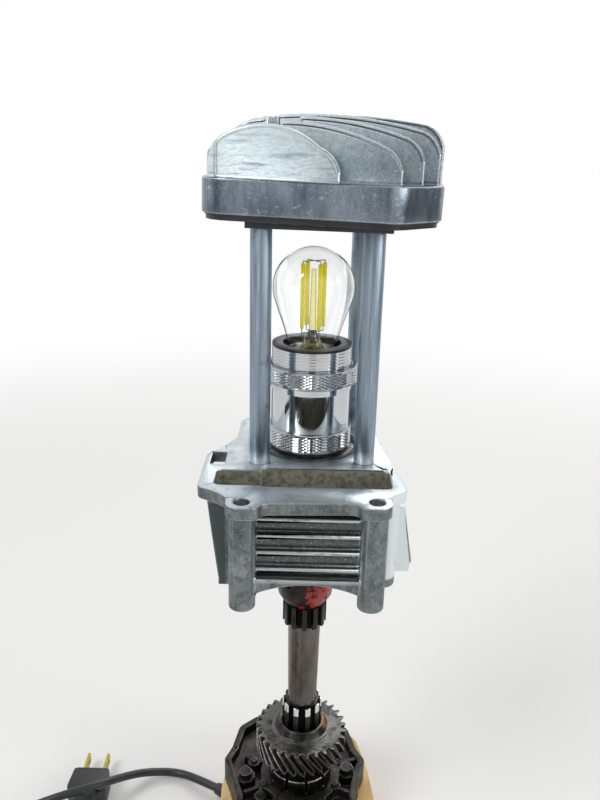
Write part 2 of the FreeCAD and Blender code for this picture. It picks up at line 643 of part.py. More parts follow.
def cylinder_block():
    deck = slab(DECK_CORNERS, DECK_Z - DECK_THICKNESS, DECK_Z)
    x0, x1 = TUNNEL_X
    y0, y1 = TUNNEL_Y
    wall = TUNNEL_WALL
    case_corners = (
        (CASE_X[0], y0 - wall, 6), (CASE_X[1], y0 - wall, 6), (CASE_X[1], y1 + wall, 3), (CASE_X[0], y1 + wall, 3),
    )
    block = deck.fuse(slab(case_corners, BLOCK_Z + CASE_LIFT, DECK_Z - 1))
    block = block.fuse(rod(BARREL_RADIUS, BLOCK_Z, DECK_Z - 1))
    for x, y in COLUMN_PLACES:
        post = rod(COLUMN_RADIUS, BLOCK_Z, DECK_Z - 1, x, y)
        web = box(x - COLUMN_RADIUS + 0.6, x + COLUMN_RADIUS - 0.6, y, y0, BLOCK_Z + 5, DECK_Z - 1)
        block = block.fuse(post).fuse(web)
    lip_corners = ((WINDOW_X[0] - 2, FRONT_FIN_Y - 2.5, 2), (WINDOW_X[1] + 2, FRONT_FIN_Y - 2.5, 2),
                   (WINDOW_X[1] + 2, y0, 1), (WINDOW_X[0] - 2, y0, 1))
    lip = slab(lip_corners, BLOCK_Z, BLOCK_Z + LIP_TOP)
    width = WINDOW_X[1] - WINDOW_X[0]
    centre_x = (WINDOW_X[0] + WINDOW_X[1]) / 2
    arch_radius = (width * width / 4 + LIP_RISE * LIP_RISE) / (2 * LIP_RISE)
    arch_top = BLOCK_Z + LIP_TOP - 3.0
    arch_centre = Vector(centre_x, FRONT_FIN_Y - 10, arch_top - arch_radius)
    arch = Part.makeCylinder(arch_radius, y0 - FRONT_FIN_Y + 10, arch_centre, Vector(0, 1, 0))
    block = block.fuse(lip.cut(arch))
    lean = [Vector(x, TUNNEL_Y[0] - 20, BLOCK_Z + z) for x, z in SIDE_LEAN]
    lean += [Vector(SIDE_LEAN[1][0], TUNNEL_Y[0] - 20, BLOCK_Z - 1), Vector(-70, TUNNEL_Y[0] - 20, BLOCK_Z - 1),
             Vector(-70, TUNNEL_Y[0] - 20, BLOCK_Z + SIDE_LEAN[0][1])]
    block = block.cut(Part.Face(Part.makePolygon(lean + lean[:1])).extrude(Vector(0, 44, 0)))
    face_y = FRONT_FIN_Y + FIN_STAND
    block = block.fuse(box(WINDOW_X[0] - 1, WINDOW_X[1] + 1, face_y, y0, BLOCK_Z + LIP_TOP - 1,
                           BLOCK_Z + FRONT_FINS[0]))
    for upper, lower in zip(FRONT_FINS, FRONT_FINS[1:]):
        swell = Vector(WINDOW_X[0] - 1, face_y - SWELL_STAND + SWELL_RADIUS, BLOCK_Z + (upper + lower) / 2)
        block = block.fuse(Part.makeCylinder(SWELL_RADIUS, WINDOW_X[1] - WINDOW_X[0] + 2, swell, Vector(1, 0, 0)))
    for level in FRONT_FINS:
        z = BLOCK_Z + level - FIN_THICKNESS / 2
        nose = Vector(WINDOW_X[0] - 1, FRONT_FIN_Y + RIB_RADIUS, BLOCK_Z + level)
        rib = Part.makeCylinder(RIB_RADIUS, WINDOW_X[1] - WINDOW_X[0] + 2, nose, Vector(1, 0, 0))
        root = box(WINDOW_X[0] - 1, WINDOW_X[1] + 1, nose.y, y0, nose.z - RIB_RADIUS, nose.z + RIB_RADIUS)
        block = block.fuse(rib.fuse(root))
        fin_corners = ((-36, y1, 3), (36, y1, 3), (36, 35.5, 9), (-36, 35.5, 9))
        block = block.fuse(slab(fin_corners, z, z + FIN_THICKNESS))
    base_corners = ((-39, y1 - 4, 5), (38, y1 - 4, 5), (35, 36, 9), (-36, 36, 9))
    block = block.fuse(slab(base_corners, BLOCK_Z, BLOCK_Z + BASE_FLANGE))
    for x, y in yawed_places():
        block = block.fuse(rod(6.5, BLOCK_Z, DECK_Z - 1, x, y))
    pad_middle = (PAD_Y[0] + PAD_Y[1]) / 2
    pad = box(PAD_X[0], PAD_X[1], PAD_Y[0], PAD_Y[1], BLOCK_Z + PAD_Z[0] + 8, BLOCK_Z + PAD_Z[1])
    foot = Part.makeCylinder(8, PAD_X[1] - PAD_X[0] - 1, Vector(PAD_X[0], PAD_Y[0] + 8, BLOCK_Z + PAD_Z[0] + 8),
                             Vector(1, 0, 0))
    foot = foot.fuse(foot.translated(Vector(0, PAD_Y[1] - PAD_Y[0] - 16, 0)))
    slope = [Vector(x, PAD_Y[0] - 5, BLOCK_Z + z) for x, z in PAD_LEAN]
    slope.append(Vector(PAD_LEAN[0][0] + 10, PAD_Y[0] - 5, BLOCK_Z + PAD_LEAN[1][1]))
    wedge = Part.Face(Part.makePolygon(slope + slope[:1])).extrude(Vector(0, PAD_Y[1] - PAD_Y[0] + 10, 0))
    block = block.fuse(pad.fuse(foot).cut(wedge))
    bore = BORE_RADIUS + LINER_WALL
    block = block.cut(rod(bore, BLOCK_Z - 1, DECK_Z + 1))
    neck = WINDOW_X[0] + 1
    slot = slab(((neck, y0, 3), (x1, y0, 3), (x1, y1, 3), (neck, y1, 3)), BLOCK_Z - 1, DECK_Z + 1)
    narrow = slab(((x0, y0 + 1, 3), (neck + 3, y0 + 1, 0.8), (neck + 3, y1 - TUNNEL_NECK, 0.8),
                   (x0, y1 - TUNNEL_NECK, 3)), DECK_Z - NECK_DEPTH, DECK_Z + 1)
    block = block.cut(slot).cut(narrow)
    x, y = DOWEL_PLACE
    boss = box(x - 6, x + 6, y0 + 0.5, y1 - TUNNEL_NECK + 1, BLOCK_Z + 6, DECK_Z - 12)
    block = block.fuse(boss).cut(rod(DOWEL_RADIUS, DECK_Z - 24, DECK_Z, x, y))
    block = block.cut(box(-48.5, -41.5, -31, -16, BLOCK_Z, DECK_Z + 1))
    for x, y in LUG_PLACES:
        block = block.cut(rod(BOLT_HOLE, DECK_Z - BOLT_DEPTH, DECK_Z + 1, x, y))
    for x, y in yawed_places():
        block = block.cut(rod(STUD_HOLE, BLOCK_Z - 1, DECK_Z + 1, x, y))
    block = block.cut(Part.makeCylinder(2.5, 10, Vector(PAD_X[1] - 9, pad_middle, BLOCK_Z + 30), Vector(1, 0, 0)))
    save("cylinder_block", block)
    x, y = DOWEL_PLACE
    save("guide_dowel", sleeve(DOWEL_RADIUS - PISTON_FIT, DOWEL_RADIUS - 1.4, DECK_Z - 24, DECK_Z - 10.5, x, y))
    liner = sleeve(bore, BORE_RADIUS, BLOCK_Z, DECK_Z)
    save("cylinder_liner", liner)


def yawed_places():
    turn = math.radians(BLOCK_YAW)
    places = []
    for x, y in STUD_PLACES:
        places.append((x * math.cos(turn) - y * math.sin(turn), x * math.sin(turn) + y * math.cos(turn)))
    return places


def piston():
    radius = BORE_RADIUS - PISTON_FIT
    low = CROWN_Z - PISTON_HEIGHT
    body = rod(radius, low, CROWN_Z).cut(rod(radius - PISTON_WALL, low - 1, CROWN_Z - CROWN_THICKNESS))
    body = body.cut(rod(PIPE_RADIUS + THREAD_CLEARANCE, low, CROWN_Z + 1))
    pin_z = CROWN_Z - PIN_BORE_DEPTH
    body = body.cut(Part.makeCylinder(PIN_BORE_RADIUS, 80, Vector(-40, 0, pin_z), Vector(1, 0, 0)))
    rings = []
    for depth in RING_LEVELS:
        z = CROWN_Z - depth
        body = body.cut(sleeve(radius + 1, radius - RING_DEPTH, z, z + RING_THICKNESS))
        ring = sleeve(radius, radius - RING_DEPTH + 0.15, z + 0.05, z + RING_THICKNESS - 0.05)
        rings.append(ring.cut(box(0, 30, -0.2, 0.2, z - 1, z + 3)))
    save("piston", body)
    save("piston_rings", *rings)


# Cage

def cage():
    half = CAGE_PLATE_WIDTH / 2
    above = tilted(box(-100, 100, -100, 100, TUBE_TOP_Z, TUBE_TOP_Z + 80))
    names = ("front_left", "front_right", "rear_left", "rear_right")
    studs, nuts, washers = [], [], []
    low_nut = LOWER_PLATE_Z - WASHER_THICKNESS - STUD_NUT_HEIGHT
    top_washer = COVER_Z + COVER_FLOOR
    for name, (x, y) in zip(names, yawed_places()):
        tube = sleeve(TUBE_RADIUS, TUBE_BORE, DECK_Z, TUBE_TOP_Z + 5, x, y).cut(above)
        save("spacer_tube_" + name, tube)
        studs.append(rod(LONG_STUD_RADIUS, low_nut - 1.5, top_washer + 8, x, y))
        bore = LONG_STUD_RADIUS + THREAD_CLEARANCE
        washers.append(sleeve(WASHER_RADIUS, bore, LOWER_PLATE_Z - WASHER_THICKNESS, LOWER_PLATE_Z, x, y))
        nuts.append(hex_nut(STUD_NUT_WIDTH, bore, low_nut, low_nut + STUD_NUT_HEIGHT, x, y))
        drop = Vector(x, y, -x * math.tan(math.radians(HEAD_TILT)))
        wide = LONG_STUD_RADIUS + TILT_CLEARANCE
        washer = tilted(sleeve(WASHER_RADIUS, wide, top_washer, top_washer + WASHER_THICKNESS))
        nut = tilted(hex_nut(STUD_NUT_WIDTH, wide, top_washer + WASHER_THICKNESS,
                             top_washer + WASHER_THICKNESS + STUD_NUT_HEIGHT))
        washers.append(washer.translated(drop))
        nuts.append(nut.translated(drop))
    save("long_studs", *studs)
    save("stud_nuts", *nuts)
    save("stud_washers", *washers)
    plate = tilted(yawed(box(-half, half, -half, half, TUBE_TOP_Z, COVER_Z)))
    save("top_plate", stud_holes(plate))


def stud_holes(shape):
    for x, y in yawed_places():
        shape = shape.cut(rod(STUD_HOLE, TUBE_TOP_Z - 10, TUBE_TOP_Z + 25, x, y))
    return shape


# Head cover

def cover_placed(shape):
    return tilted(yawed(shape, COVER_YAW))


def fin(number, outline):
    right, peak, shoulder = COVER_FINS[number]
    left = -44.0
    y = COVER_FIN_FIRST + number * COVER_FIN_PITCH
    corner = min(5.0, shoulder * 0.4)
    span = right - 8 - (left + 16)
    points = [Vector(left, y, -2), Vector(left, y, 3), Vector(left + 5.5, y, peak * 0.64),
              Vector(left + 16, y, peak * 0.91), Vector(left + 16 + 0.36 * span, y, peak),
              Vector(right - 9, y, shoulder + 0.8), Vector(right - 2.3, y, shoulder - corner + 1),
              Vector(right, y, shoulder - corner - 4), Vector(right, y, -2)]
    edges = [
        Part.LineSegment(points[0], points[1]).toShape(),
        Part.Arc(points[1], points[2], points[3]).toShape(),
        Part.Arc(points[3], points[4], points[5]).toShape(),
        Part.Arc(points[5], points[6], points[7]).toShape(),
        Part.LineSegment(points[7], points[8]).toShape(),
        Part.LineSegment(points[8], points[0]).toShape(),
    ]
    plate = Part.Face(Part.Wire(edges)).extrude(Vector(0, COVER_FIN_THICKNESS, 0))
    plate.translate(Vector(0, -COVER_FIN_THICKNESS / 2, ROOF_Z))
    if number in (1, 2):
        plate = plate.cut(box(-16 - 2 * number, -12 + 6 * (number - 1), y - 5, y + 5, ROOF_Z + 3, ROOF_Z + 40))
    if number > 2:
        for x in (-27.0, -20.0):
            plate = plate.cut(box(x, x + 1.6, y - 5, y + 5, ROOF_Z + 15, ROOF_Z + 40))
    return plate.common(outline)


def head_cover():
    rim_top = ROOF_Z
    cover = slab(COVER_CORNERS, RIM_Z, rim_top)
    cover = cover.cut(slab(COVER_CORNERS, RIM_Z - 1, rim_top - COVER_ROOF, COVER_WALL))
    outline = slab(COVER_CORNERS, RIM_Z, rim_top + 40, 0.6)
    for number in range(len(COVER_FINS)):
        cover = cover.fuse(fin(number, outline))
    for x, y in COVER_SCREWS:
        cover = cover.fuse(rod(COVER_BOSS_RADIUS, RIM_Z, rim_top - 1, x, y))
        cover = cover.cut(rod(COVER_SCREW_RADIUS + THREAD_CLEARANCE, RIM_Z - 1, rim_top - 4, x, y))
    save("head_cover", cover_placed(cover.removeSplitter()))

    floor = slab(COVER_CORNERS, COVER_Z, COVER_Z + COVER_FLOOR, 1.8)
    band = slab(COVER_CORNERS, COVER_Z + COVER_FLOOR, RIM_Z, 1.2)
    band = band.cut(slab(COVER_CORNERS, COVER_Z, RIM_Z + 1, COVER_WALL))
    screws = []
    for x, y in COVER_SCREWS:
        floor = floor.cut(rod(COVER_SCREW_RADIUS + 0.1, COVER_Z - 1, RIM_Z + 1, x, y))
        floor = floor.cut(Part.makeCone(3.9, COVER_SCREW_RADIUS, 1.9, Vector(x, y, COVER_Z)))
        band = band.cut(rod(COVER_SCREW_RADIUS + 0.3, COVER_Z - 1, RIM_Z + 1, x, y))
        head = Part.makeCone(3.8, COVER_SCREW_RADIUS, 1.8, Vector(x, y, COVER_Z))
        screws.append(cover_placed(head.fuse(rod(COVER_SCREW_RADIUS, COVER_Z, COVER_Z + COVER_SCREW_LENGTH, x, y))))
    save("cover_floor", stud_holes(cover_placed(floor)))
    save("cover_gasket", cover_placed(band))
    save("cover_screws", *screws)


# Lamp holder

def holder():
    bore = PIPE_RADIUS + THREAD_CLEARANCE
    save("holder_washer", sleeve(BORE_RADIUS - WASHER_INSET, bore, CROWN_Z, HOLDER_Z))
    foot = rod(FOOT_RING_RADIUS, HOLDER_Z, SHELL_Z).cut(rod(SHELL_RADIUS - 3, HOLDER_Z + FOOT_RING_FLOOR, SHELL_Z + 1))
    foot = foot.cut(sleeve(SHELL_RADIUS + CORD_FIT, SHELL_RADIUS - SHELL_WALL - 0.1, SHELL_Z - 2, SHELL_Z + 1))
    save("holder_foot", foot.cut(rod(bore, HOLDER_Z - 1, SHELL_Z + 1)))

    shell = sleeve(SHELL_RADIUS, SHELL_RADIUS - SHELL_WALL, SHELL_Z - 2, SHELL_TOP_Z)
    low = SHELL_TOP_Z - RING_BELOW_TOP
    shell = shell.fuse(sleeve(BAND_RADIUS, SHELL_RADIUS - 0.5, low - BAND_HEIGHT, low))
    for turn in range(THREAD_TURNS):
        z = SHELL_TOP_Z - 0.6 - turn * THREAD_PITCH
        shell = shell.cut(sleeve(SHELL_RADIUS + 1, SHELL_RADIUS - THREAD_DEPTH, z - 0.7, z))
    save("holder_shell", shell)
    ring = sleeve(RING_RADIUS, SHELL_RADIUS + RING_FIT, low, low + RING_HEIGHT)
    save("shade_ring", ring)

    inner = SHELL_RADIUS - SHELL_WALL - 0.05
    floor = SHELL_Z + INSERT_FLOOR
    insert = rod(inner, SHELL_Z, SHELL_TOP_Z)
    insert = insert.fuse(rod(SHELL_RADIUS, SHELL_TOP_Z, SHELL_TOP_Z + INSERT_LIP))
    step = floor + SOCKET_HEIGHT + 1
    insert = insert.cut(rod(SOCKET_RADIUS + SOCKET_WALL + 0.05, floor, SHELL_TOP_Z + 5))
    insert = insert.cut(rod(INSERT_MOUTH, step, SHELL_TOP_Z + 5))
    insert = insert.cut(rod(2.1, SHELL_Z - 1, floor + 1))
    screws = []
    for x in (-9, 9):
        insert = insert.cut(rod(1.6, SHELL_Z - 1, floor + 1, x, 0))
        screws.append(rod(2.6, floor, floor + 1.4, x, 0).fuse(rod(1.5, SHELL_Z + 0.5, floor, x, 0)))
    save("holder_insert", insert)
    save("terminal_screws", *screws)
    save("screw_shell", sleeve(SOCKET_RADIUS + SOCKET_WALL, SOCKET_RADIUS, floor + 2.0, floor + 2.0 + SOCKET_HEIGHT - 2))
    contact = rod(4.2, floor, floor + 1.5).fuse(rod(2.0, SHELL_Z + 1, floor))
    contact = contact.fuse(rod(2.6, floor + 1.4, bulb_foot() - 0.02))
    save("centre_contact", contact)


# Bulb

def bulb_foot():
    """The underside of the contact at the foot of the bulb."""
    return SHELL_TOP_Z + CAP_TOP - CAP_HEIGHT - 2.6


def glass_outline(inset):
    """The curved edge of the bulb from its neck to its top, drawn in by inset."""
    centre = SHELL_TOP_Z + BULB_CENTRE
    top = SHELL_TOP_Z + CAP_TOP
    points = [Vector(12.2 - inset, 0, top - 4), Vector(12.35 - inset, 0, top), Vector(14.0 - inset, 0, centre - 22),
              Vector(16.6 - inset, 0, centre - 14)]
    for angle in (-22, 0, 25, 50, 72):
        x, z = polar(BULB_RADIUS - inset, angle)
        points.append(Vector(x, 0, centre + z))
    points.append(Vector(0, 0, centre + BULB_RADIUS - inset))
    curve = Part.BSplineCurve()
    curve.interpolate(points)
    return curve.toShape(), points[0], points[-1]


def bulb():
    outer, outer_low, outer_top = glass_outline(0)
    inner, inner_low, inner_top = glass_outline(BULB_GLASS)
    wire = Part.Wire([outer, Part.LineSegment(outer_top, inner_top).toShape(), inner,
                      Part.LineSegment(inner_low, outer_low).toShape()])
    glass = Part.Face(wire).revolve(ORIGIN, UP, 360)
    save("bulb_glass", glass)
    top = SHELL_TOP_Z + CAP_TOP
    low = top - CAP_HEIGHT
    crest, root = CAP_RADIUS, CAP_RADIUS - 1.2
    profile = [(crest - 1.2, low + 2)]
    for turn in range(5):
        z = low + 3.5 + turn * CAP_PITCH
        profile += [(root, z), (crest, z + CAP_PITCH * 0.5)]
    profile += [(root, top - 4.3), (crest, top - 2.6), (crest, top)]
    cap = turned(profile + [(12.45, top), (12.45, top - 4.1), (root - 0.5, top - 4.8), (root - 0.5, low + 2)])
    save("bulb_cap", cap)
    cone = turned(((4.6, low - 1.4), (root - 0.6, low + 2), (root - 0.6, low + 2.6), (0, low + 2.6), (0, low - 1.4)))
    save("bulb_insulator", cone)
    save("bulb_tip", Part.makeCone(2.6, 4.4, 1.2, Vector(0, 0, low - 2.6)))

    stem_low = top - 3.8
    stem = turned(((0, stem_low), (11.4, stem_low), (11.4, stem_low + 1), (5, stem_low + 6), (STEM_RADIUS, stem_low + 13),
                   (STEM_RADIUS * 0.6, stem_low + 43.5), (0, stem_low + 43.5)))
    save("bulb_stem", stem)
    bottom = top + 10.5
    sticks, wires = [], []
    for angle in around(4, FILAMENT_START):
        x, y = polar(FILAMENT_CIRCLE, angle)
        sticks.append(rod(FILAMENT_RADIUS, bottom, bottom + FILAMENT_LENGTH, x, y))
        outward = Vector(x, y, 0).normalize()
        for z, rise in ((bottom, -2.0), (bottom + FILAMENT_LENGTH, 0.8)):
            start = Vector(x, y, z)
            knee = Vector(x, y, z + rise)
            wire = Part.makeCylinder(0.25, abs(rise) + 0.2, min(start, knee, key=lambda p: p.z), UP)
            length = FILAMENT_CIRCLE - 0.5
            arm = Part.makeCylinder(0.25, length, outward * 0.5 + Vector(0, 0, knee.z), outward)
            wires.append(wire.fuse(arm).cut(stem).cut(sticks[-1]))
    save("filaments", *sticks)
    save("filament_wires", *wires)


# Cord

def free_cord():
    inward = math.radians(CORD_EXIT_ANGLE + 180)
    way = Vector(math.cos(inward), math.sin(inward), 0)
    points = [Vector(*CORD_EXIT) + way * CORD_INSIDE]
    points += [Vector(*p) for p in CORD_ROUTE]
    end_y = SWITCH_PLACE[1] + SWITCH_LENGTH / 2 - SWITCH_CHANNEL
    points.append(Vector(SWITCH_PLACE[0], end_y, SWITCH_HEIGHT / 2))
    wire, radii = rounded_path(points)
    tube = tube_on(wire, points[0], way * -1, CORD_RADIUS)
    section = math.pi * CORD_RADIUS ** 2
    print("cord radii", radii, "length", round(wire.Length, 1), "volume ratio", tube.Volume / section / wire.Length)
    save("cord", tube)
    return wire.Length - CORD_INSIDE


def coil_stations():
    """Points of the coil a quarter turn apart, each with its direction."""
    stations = []
    angle = math.pi
    radius = COIL_RADIUS
    level = CORD_RADIUS + COIL_LIFT
    quarters = int(round(COIL_TURNS * 4))
    drift = COIL_STEP / (2 * math.pi)
    for layer in range(COIL_LAYERS):
        sign = -1 if layer % 2 == 0 else 1
        for q in range(quarters + 1):
            slope = 0 if q in (0, quarters) else sign * drift
            stations.append((angle, radius, slope, level, 0))
            if q < quarters:
                angle += math.pi / 2
                radius += sign * COIL_STEP / 4
        if layer < COIL_LAYERS - 1:
            stations.append((angle + math.pi / 2, radius, 0, level + COIL_LAYER_STEP / 2, COIL_LAYER_STEP / 2))
            angle += math.pi
            level += COIL_LAYER_STEP
    cx, cy = COIL_CENTRE
    places = []
    for angle, radius, slope, level, climb in stations:
        place = Vector(cx + radius * math.cos(angle), cy + radius * math.sin(angle), level)
        way = Vector(slope * math.cos(angle) - radius * math.sin(angle),
                     slope * math.sin(angle) + radius * math.cos(angle), climb).normalize()
        places.append((place, way))
    return places


def coil():
    places = coil_stations()
    edges = []
    for (a, way_a), (b, way_b) in zip(places, places[1:]):
        edges += biarc(a, way_a, b, way_b)
    first, last = places[0][0], places[-1][0]
    middle_z = SWITCH_HEIGHT / 2
    channel = SWITCH_PLACE[1] - SWITCH_LENGTH / 2 + SWITCH_CHANNEL
    mouth = SWITCH_PLACE[1] - SWITCH_LENGTH / 2
    lead = [Vector(first.x, channel, middle_z), Vector(first.x, mouth - 6, middle_z),
            Vector(first.x, mouth - 17, first.z), first]
    tail_y = PLUG_FRONT[1] - PLUG_STRAIGHT - PLUG_TAIL
    room = tail_y + 8 - last.y
    plug_z = PLUG_HEIGHT / 2
    away = [last, last + Vector(0, room * 0.22, 0), Vector(last.x, last.y + room * 0.6, plug_z),
            Vector(last.x, tail_y + 8, plug_z)]
    lead_wire, lead_radii = rounded_path(lead)
    away_wire, away_radii = rounded_path(away)
    path = Part.Wire(lead_wire.Edges + edges + away_wire.Edges)
    tube = tube_on(path, lead[0], Vector(0, -1, 0), CORD_RADIUS)
    section = math.pi * CORD_RADIUS ** 2
    print("coil end radii", lead_radii, away_radii, "length", round(path.Length, 1),
          "volume ratio", tube.Volume / section / path.Length)
    print("least gap in the coil", round(least_gap(path), 2))
    save("cord_coil", tube)
    return path.Length


def least_gap(path):
    """The least distance between two turns of a path, less the cord."""
    points = path.discretize(Distance=1.5)
    step = path.Length / (len(points) - 1)
    skip = int(20 / step)
    least = 1000.0
    for i in range(len(points)):
        for j in range(i + skip, len(points)):
            least = min(least, (points[i] - points[j]).Length)
    return least - 2 * CORD_RADIUS


def coil_tie():
    cx, cy = COIL_CENTRE
    inner = COIL_RADIUS - COIL_TURNS * COIL_STEP - CORD_RADIUS - TIE_GAP
    outer = COIL_RADIUS + CORD_RADIUS + TIE_GAP
    top = COIL_LIFT + 2 * CORD_RADIUS + (COIL_LAYERS - 1) * COIL_LAYER_STEP + TIE_GAP
    low = COIL_LIFT - TIE_GAP
    t = TIE_THICKNESS
    band = box(inner - t, outer + t, -TIE_WIDTH / 2, TIE_WIDTH / 2, low - t, top + t)
    band = band.cut(box(inner, outer, -TIE_WIDTH, TIE_WIDTH, low, top))
    band.rotate(ORIGIN, UP, TIE_ANGLE)
    save("coil_tie", band.translated(Vector(cx, cy, 0)))


def switch():
    sx, sy = SWITCH_PLACE
    length, width, height = SWITCH_LENGTH, SWITCH_WIDTH, SWITCH_HEIGHT
    middle = height / 2
    w, e = width / 2, length / 2
    corners = ((-6, -e, 3), (6, -e, 3), (w, -e + 14, 6), (w, e - 14, 6), (6, e, 3), (-6, e, 3), (-w, e - 14, 6),
               (-w, -e + 14, 6))
    hollow = box(-w + SWITCH_WALL, w - SWITCH_WALL, -e + SWITCH_CHANNEL, e - SWITCH_CHANNEL,
                 SWITCH_WALL, height - SWITCH_WALL)
    channel = Part.makeCylinder(CORD_RADIUS + CORD_FIT, length + 2, Vector(0, -e - 1, middle), Vector(0, 1, 0))
    hw, hl = ROCKER_WIDTH / 2, ROCKER_LENGTH / 2
    window = box(-hw - ROCKER_GAP, hw + ROCKER_GAP, -hl - ROCKER_SWING_GAP, hl + ROCKER_SWING_GAP, middle, height + 5)
    pivot_z = middle + 3.0
    wells = box(-w + SWITCH_WALL, w - SWITCH_WALL, -2.2, 2.2, SWITCH_WALL, pivot_z - PIVOT_RADIUS - 0.02)
    wells = wells.cut(box(-hw - 1, hw + 1, -3, 3, SWITCH_WALL - 1, height))
    place = Vector(sx, sy, 0)
    base = slab(corners, 0, middle).cut(hollow).cut(channel)
    base = base.fuse(wells)
    cover = slab(corners, middle, height).cut(hollow).cut(channel).cut(window)
    save("switch_base", base.translated(place))
    save("switch_top", cover.translated(place))
    radius = 26.0
    body = box(-hw, hw, -hl, hl, pivot_z - 2.5, height + 1.4)
    dish = Part.makeCylinder(radius, width, Vector(-w, 0, height + 0.6 + radius), Vector(1, 0, 0))
    body = body.cut(dish)
    bore = Part.makeCylinder(PIVOT_RADIUS + 0.04, width, Vector(-w, 0, pivot_z), Vector(1, 0, 0))
    save("switch_rocker", body.cut(bore).translated(place))
    pin = Part.makeCylinder(PIVOT_RADIUS, width - 2 * SWITCH_WALL - 0.4, Vector(-w + SWITCH_WALL + 0.2, 0, pivot_z),
                            Vector(1, 0, 0))
    save("switch_pin", pin.translated(place))


def plug():
    px, py = PLUG_FRONT
    w, h = PLUG_WIDTH / 2, PLUG_HEIGHT
    rear = -PLUG_STRAIGHT
    tail = rear - PLUG_TAIL
    t = PLUG_TAIL_WIDTH / 2
    corners = ((-w + 1, 0, 3), (w - 1, 0, 3), (w, rear + 6, 6), (t + 1.5, rear - 1, 4), (t, tail, 1), (-t, tail, 1),
               (-t - 1.5, rear - 1, 4), (-w, rear + 6, 6))
    body = slab(corners, 0, h)
    side = Part.Face(Part.makePolygon([
        Vector(-20, 1, 1.2), Vector(-20, 1, h - 1.2), Vector(-20, -2, h), Vector(-20, rear + 4, h),
        Vector(-20, tail, h / 2 + t), Vector(-20, tail, h / 2 - t), Vector(-20, rear + 4, 0), Vector(-20, -2, 0),
        Vector(-20, 1, 1.2)])).extrude(Vector(40, 0, 0))
    body = body.common(side)
    body = body.cut(Part.makeCylinder(CORD_RADIUS + CORD_FIT, 8, Vector(0, tail, h / 2), Vector(0, 1, 0)))
    pins = []
    for x in (-PIN_PITCH / 2, PIN_PITCH / 2):
        blade = box(x - PIN_THICKNESS / 2, x + PIN_THICKNESS / 2, -PIN_ROOT, PIN_LENGTH,
                    h / 2 - PIN_WIDTH / 2, h / 2 + PIN_WIDTH / 2)
        body = body.cut(blade)
        hole = Part.makeCylinder(1.5, 4, Vector(x - 2, PIN_LENGTH - 4, h / 2), Vector(1, 0, 0))
        pins.append(blade.cut(hole).translated(Vector(px, py, 0)))
    save("plug_body", body.translated(Vector(px, py, 0)))
    save("plug_pins", *pins)


os.makedirs("parts", exist_ok=True)
wood_foot()
wood_screws()
clutch_plate()
slotted_hub()
helical_gear()
main_shaft()
coupling()
lamp_pipe()
lower_plate()
cylinder_block()
piston()
cage()
head_cover()
holder()
bulb()
free_length = free_cord()
coil_length = coil()
coil_tie()
switch()
plug()
print("cord outside the lamp", round(free_length + coil_length))
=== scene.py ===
# A table lamp put together from engine and gearbox parts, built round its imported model.
import math

import bmesh
import bpy
from mathutils import Matrix, Vector


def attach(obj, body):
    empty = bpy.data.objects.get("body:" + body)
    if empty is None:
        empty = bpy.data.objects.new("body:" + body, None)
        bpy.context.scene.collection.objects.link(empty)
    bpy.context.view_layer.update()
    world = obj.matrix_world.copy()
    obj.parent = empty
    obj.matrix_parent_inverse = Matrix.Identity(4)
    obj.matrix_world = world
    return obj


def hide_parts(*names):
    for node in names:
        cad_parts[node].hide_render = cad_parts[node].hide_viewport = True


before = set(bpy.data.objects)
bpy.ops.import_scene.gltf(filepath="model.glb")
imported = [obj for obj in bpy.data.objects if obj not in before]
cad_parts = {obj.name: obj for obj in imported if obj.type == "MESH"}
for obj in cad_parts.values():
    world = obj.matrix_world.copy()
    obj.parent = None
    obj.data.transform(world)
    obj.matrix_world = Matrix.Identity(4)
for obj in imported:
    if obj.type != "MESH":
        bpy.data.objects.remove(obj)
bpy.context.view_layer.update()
bpy.ops.object.select_all(action="DESELECT")
MM = 0.001


# The view. The camera stands a little above the lamp, tipped down and rolled a little, so that upright
# things lean to the right as they do in the picture. Its lens is given in pixels of a 600 by 800 image.
EYE = (-0.0054, -0.3792, 0.402)
TIP_DOWN = 18.5
ROLL = 1.36
LENS_PIXELS = 775
IMAGE_HEIGHT = 800
SENSOR = 36

tilt = Matrix.Rotation(math.radians(90 - TIP_DOWN), 4, "X") @ Matrix.Rotation(math.radians(ROLL), 4, "Z")
bpy.ops.object.camera_add(location=EYE, rotation=tilt.to_euler())
camera = bpy.context.object
camera.name = "view"
camera.data.sensor_fit = "VERTICAL"
camera.data.sensor_height = SENSOR
camera.data.lens = SENSOR * LENS_PIXELS / IMAGE_HEIGHT
camera.data.clip_start = 0.01
bpy.context.scene.camera = camera


# The cord. A round black lead of 5 mm in soft vinyl, 1.8 m long. It leaves the left of the foot, passes
# over its own plug, goes through an inline switch and is put away as a tied coil beside the picture.
# Vinyl is drawn through a die, which leaves it dull and smooth with a faint unevenness along it.
def linear(code):
    """An sRGB colour such as 8A1510, in the linear values that the shaders work in."""
    values = [int(code[i:i + 2], 16) / 255 for i in (0, 2, 4)]
    return (*[v / 12.92 if v <= 0.04045 else ((v + 0.055) / 1.055) ** 2.4 for v in values], 1.0)


def add(tree, kind, inputs=None, **settings):
    """Adds a node. Each of its inputs is a value, or the output of another node."""
    made = tree.nodes.new(kind)
    for key, value in settings.items():
        setattr(made, key, value)
    for key, value in (inputs or {}).items():
        if isinstance(value, bpy.types.NodeSocket):
            tree.links.new(value, made.inputs[key])
        else:
            made.inputs[key].default_value = value
    return made


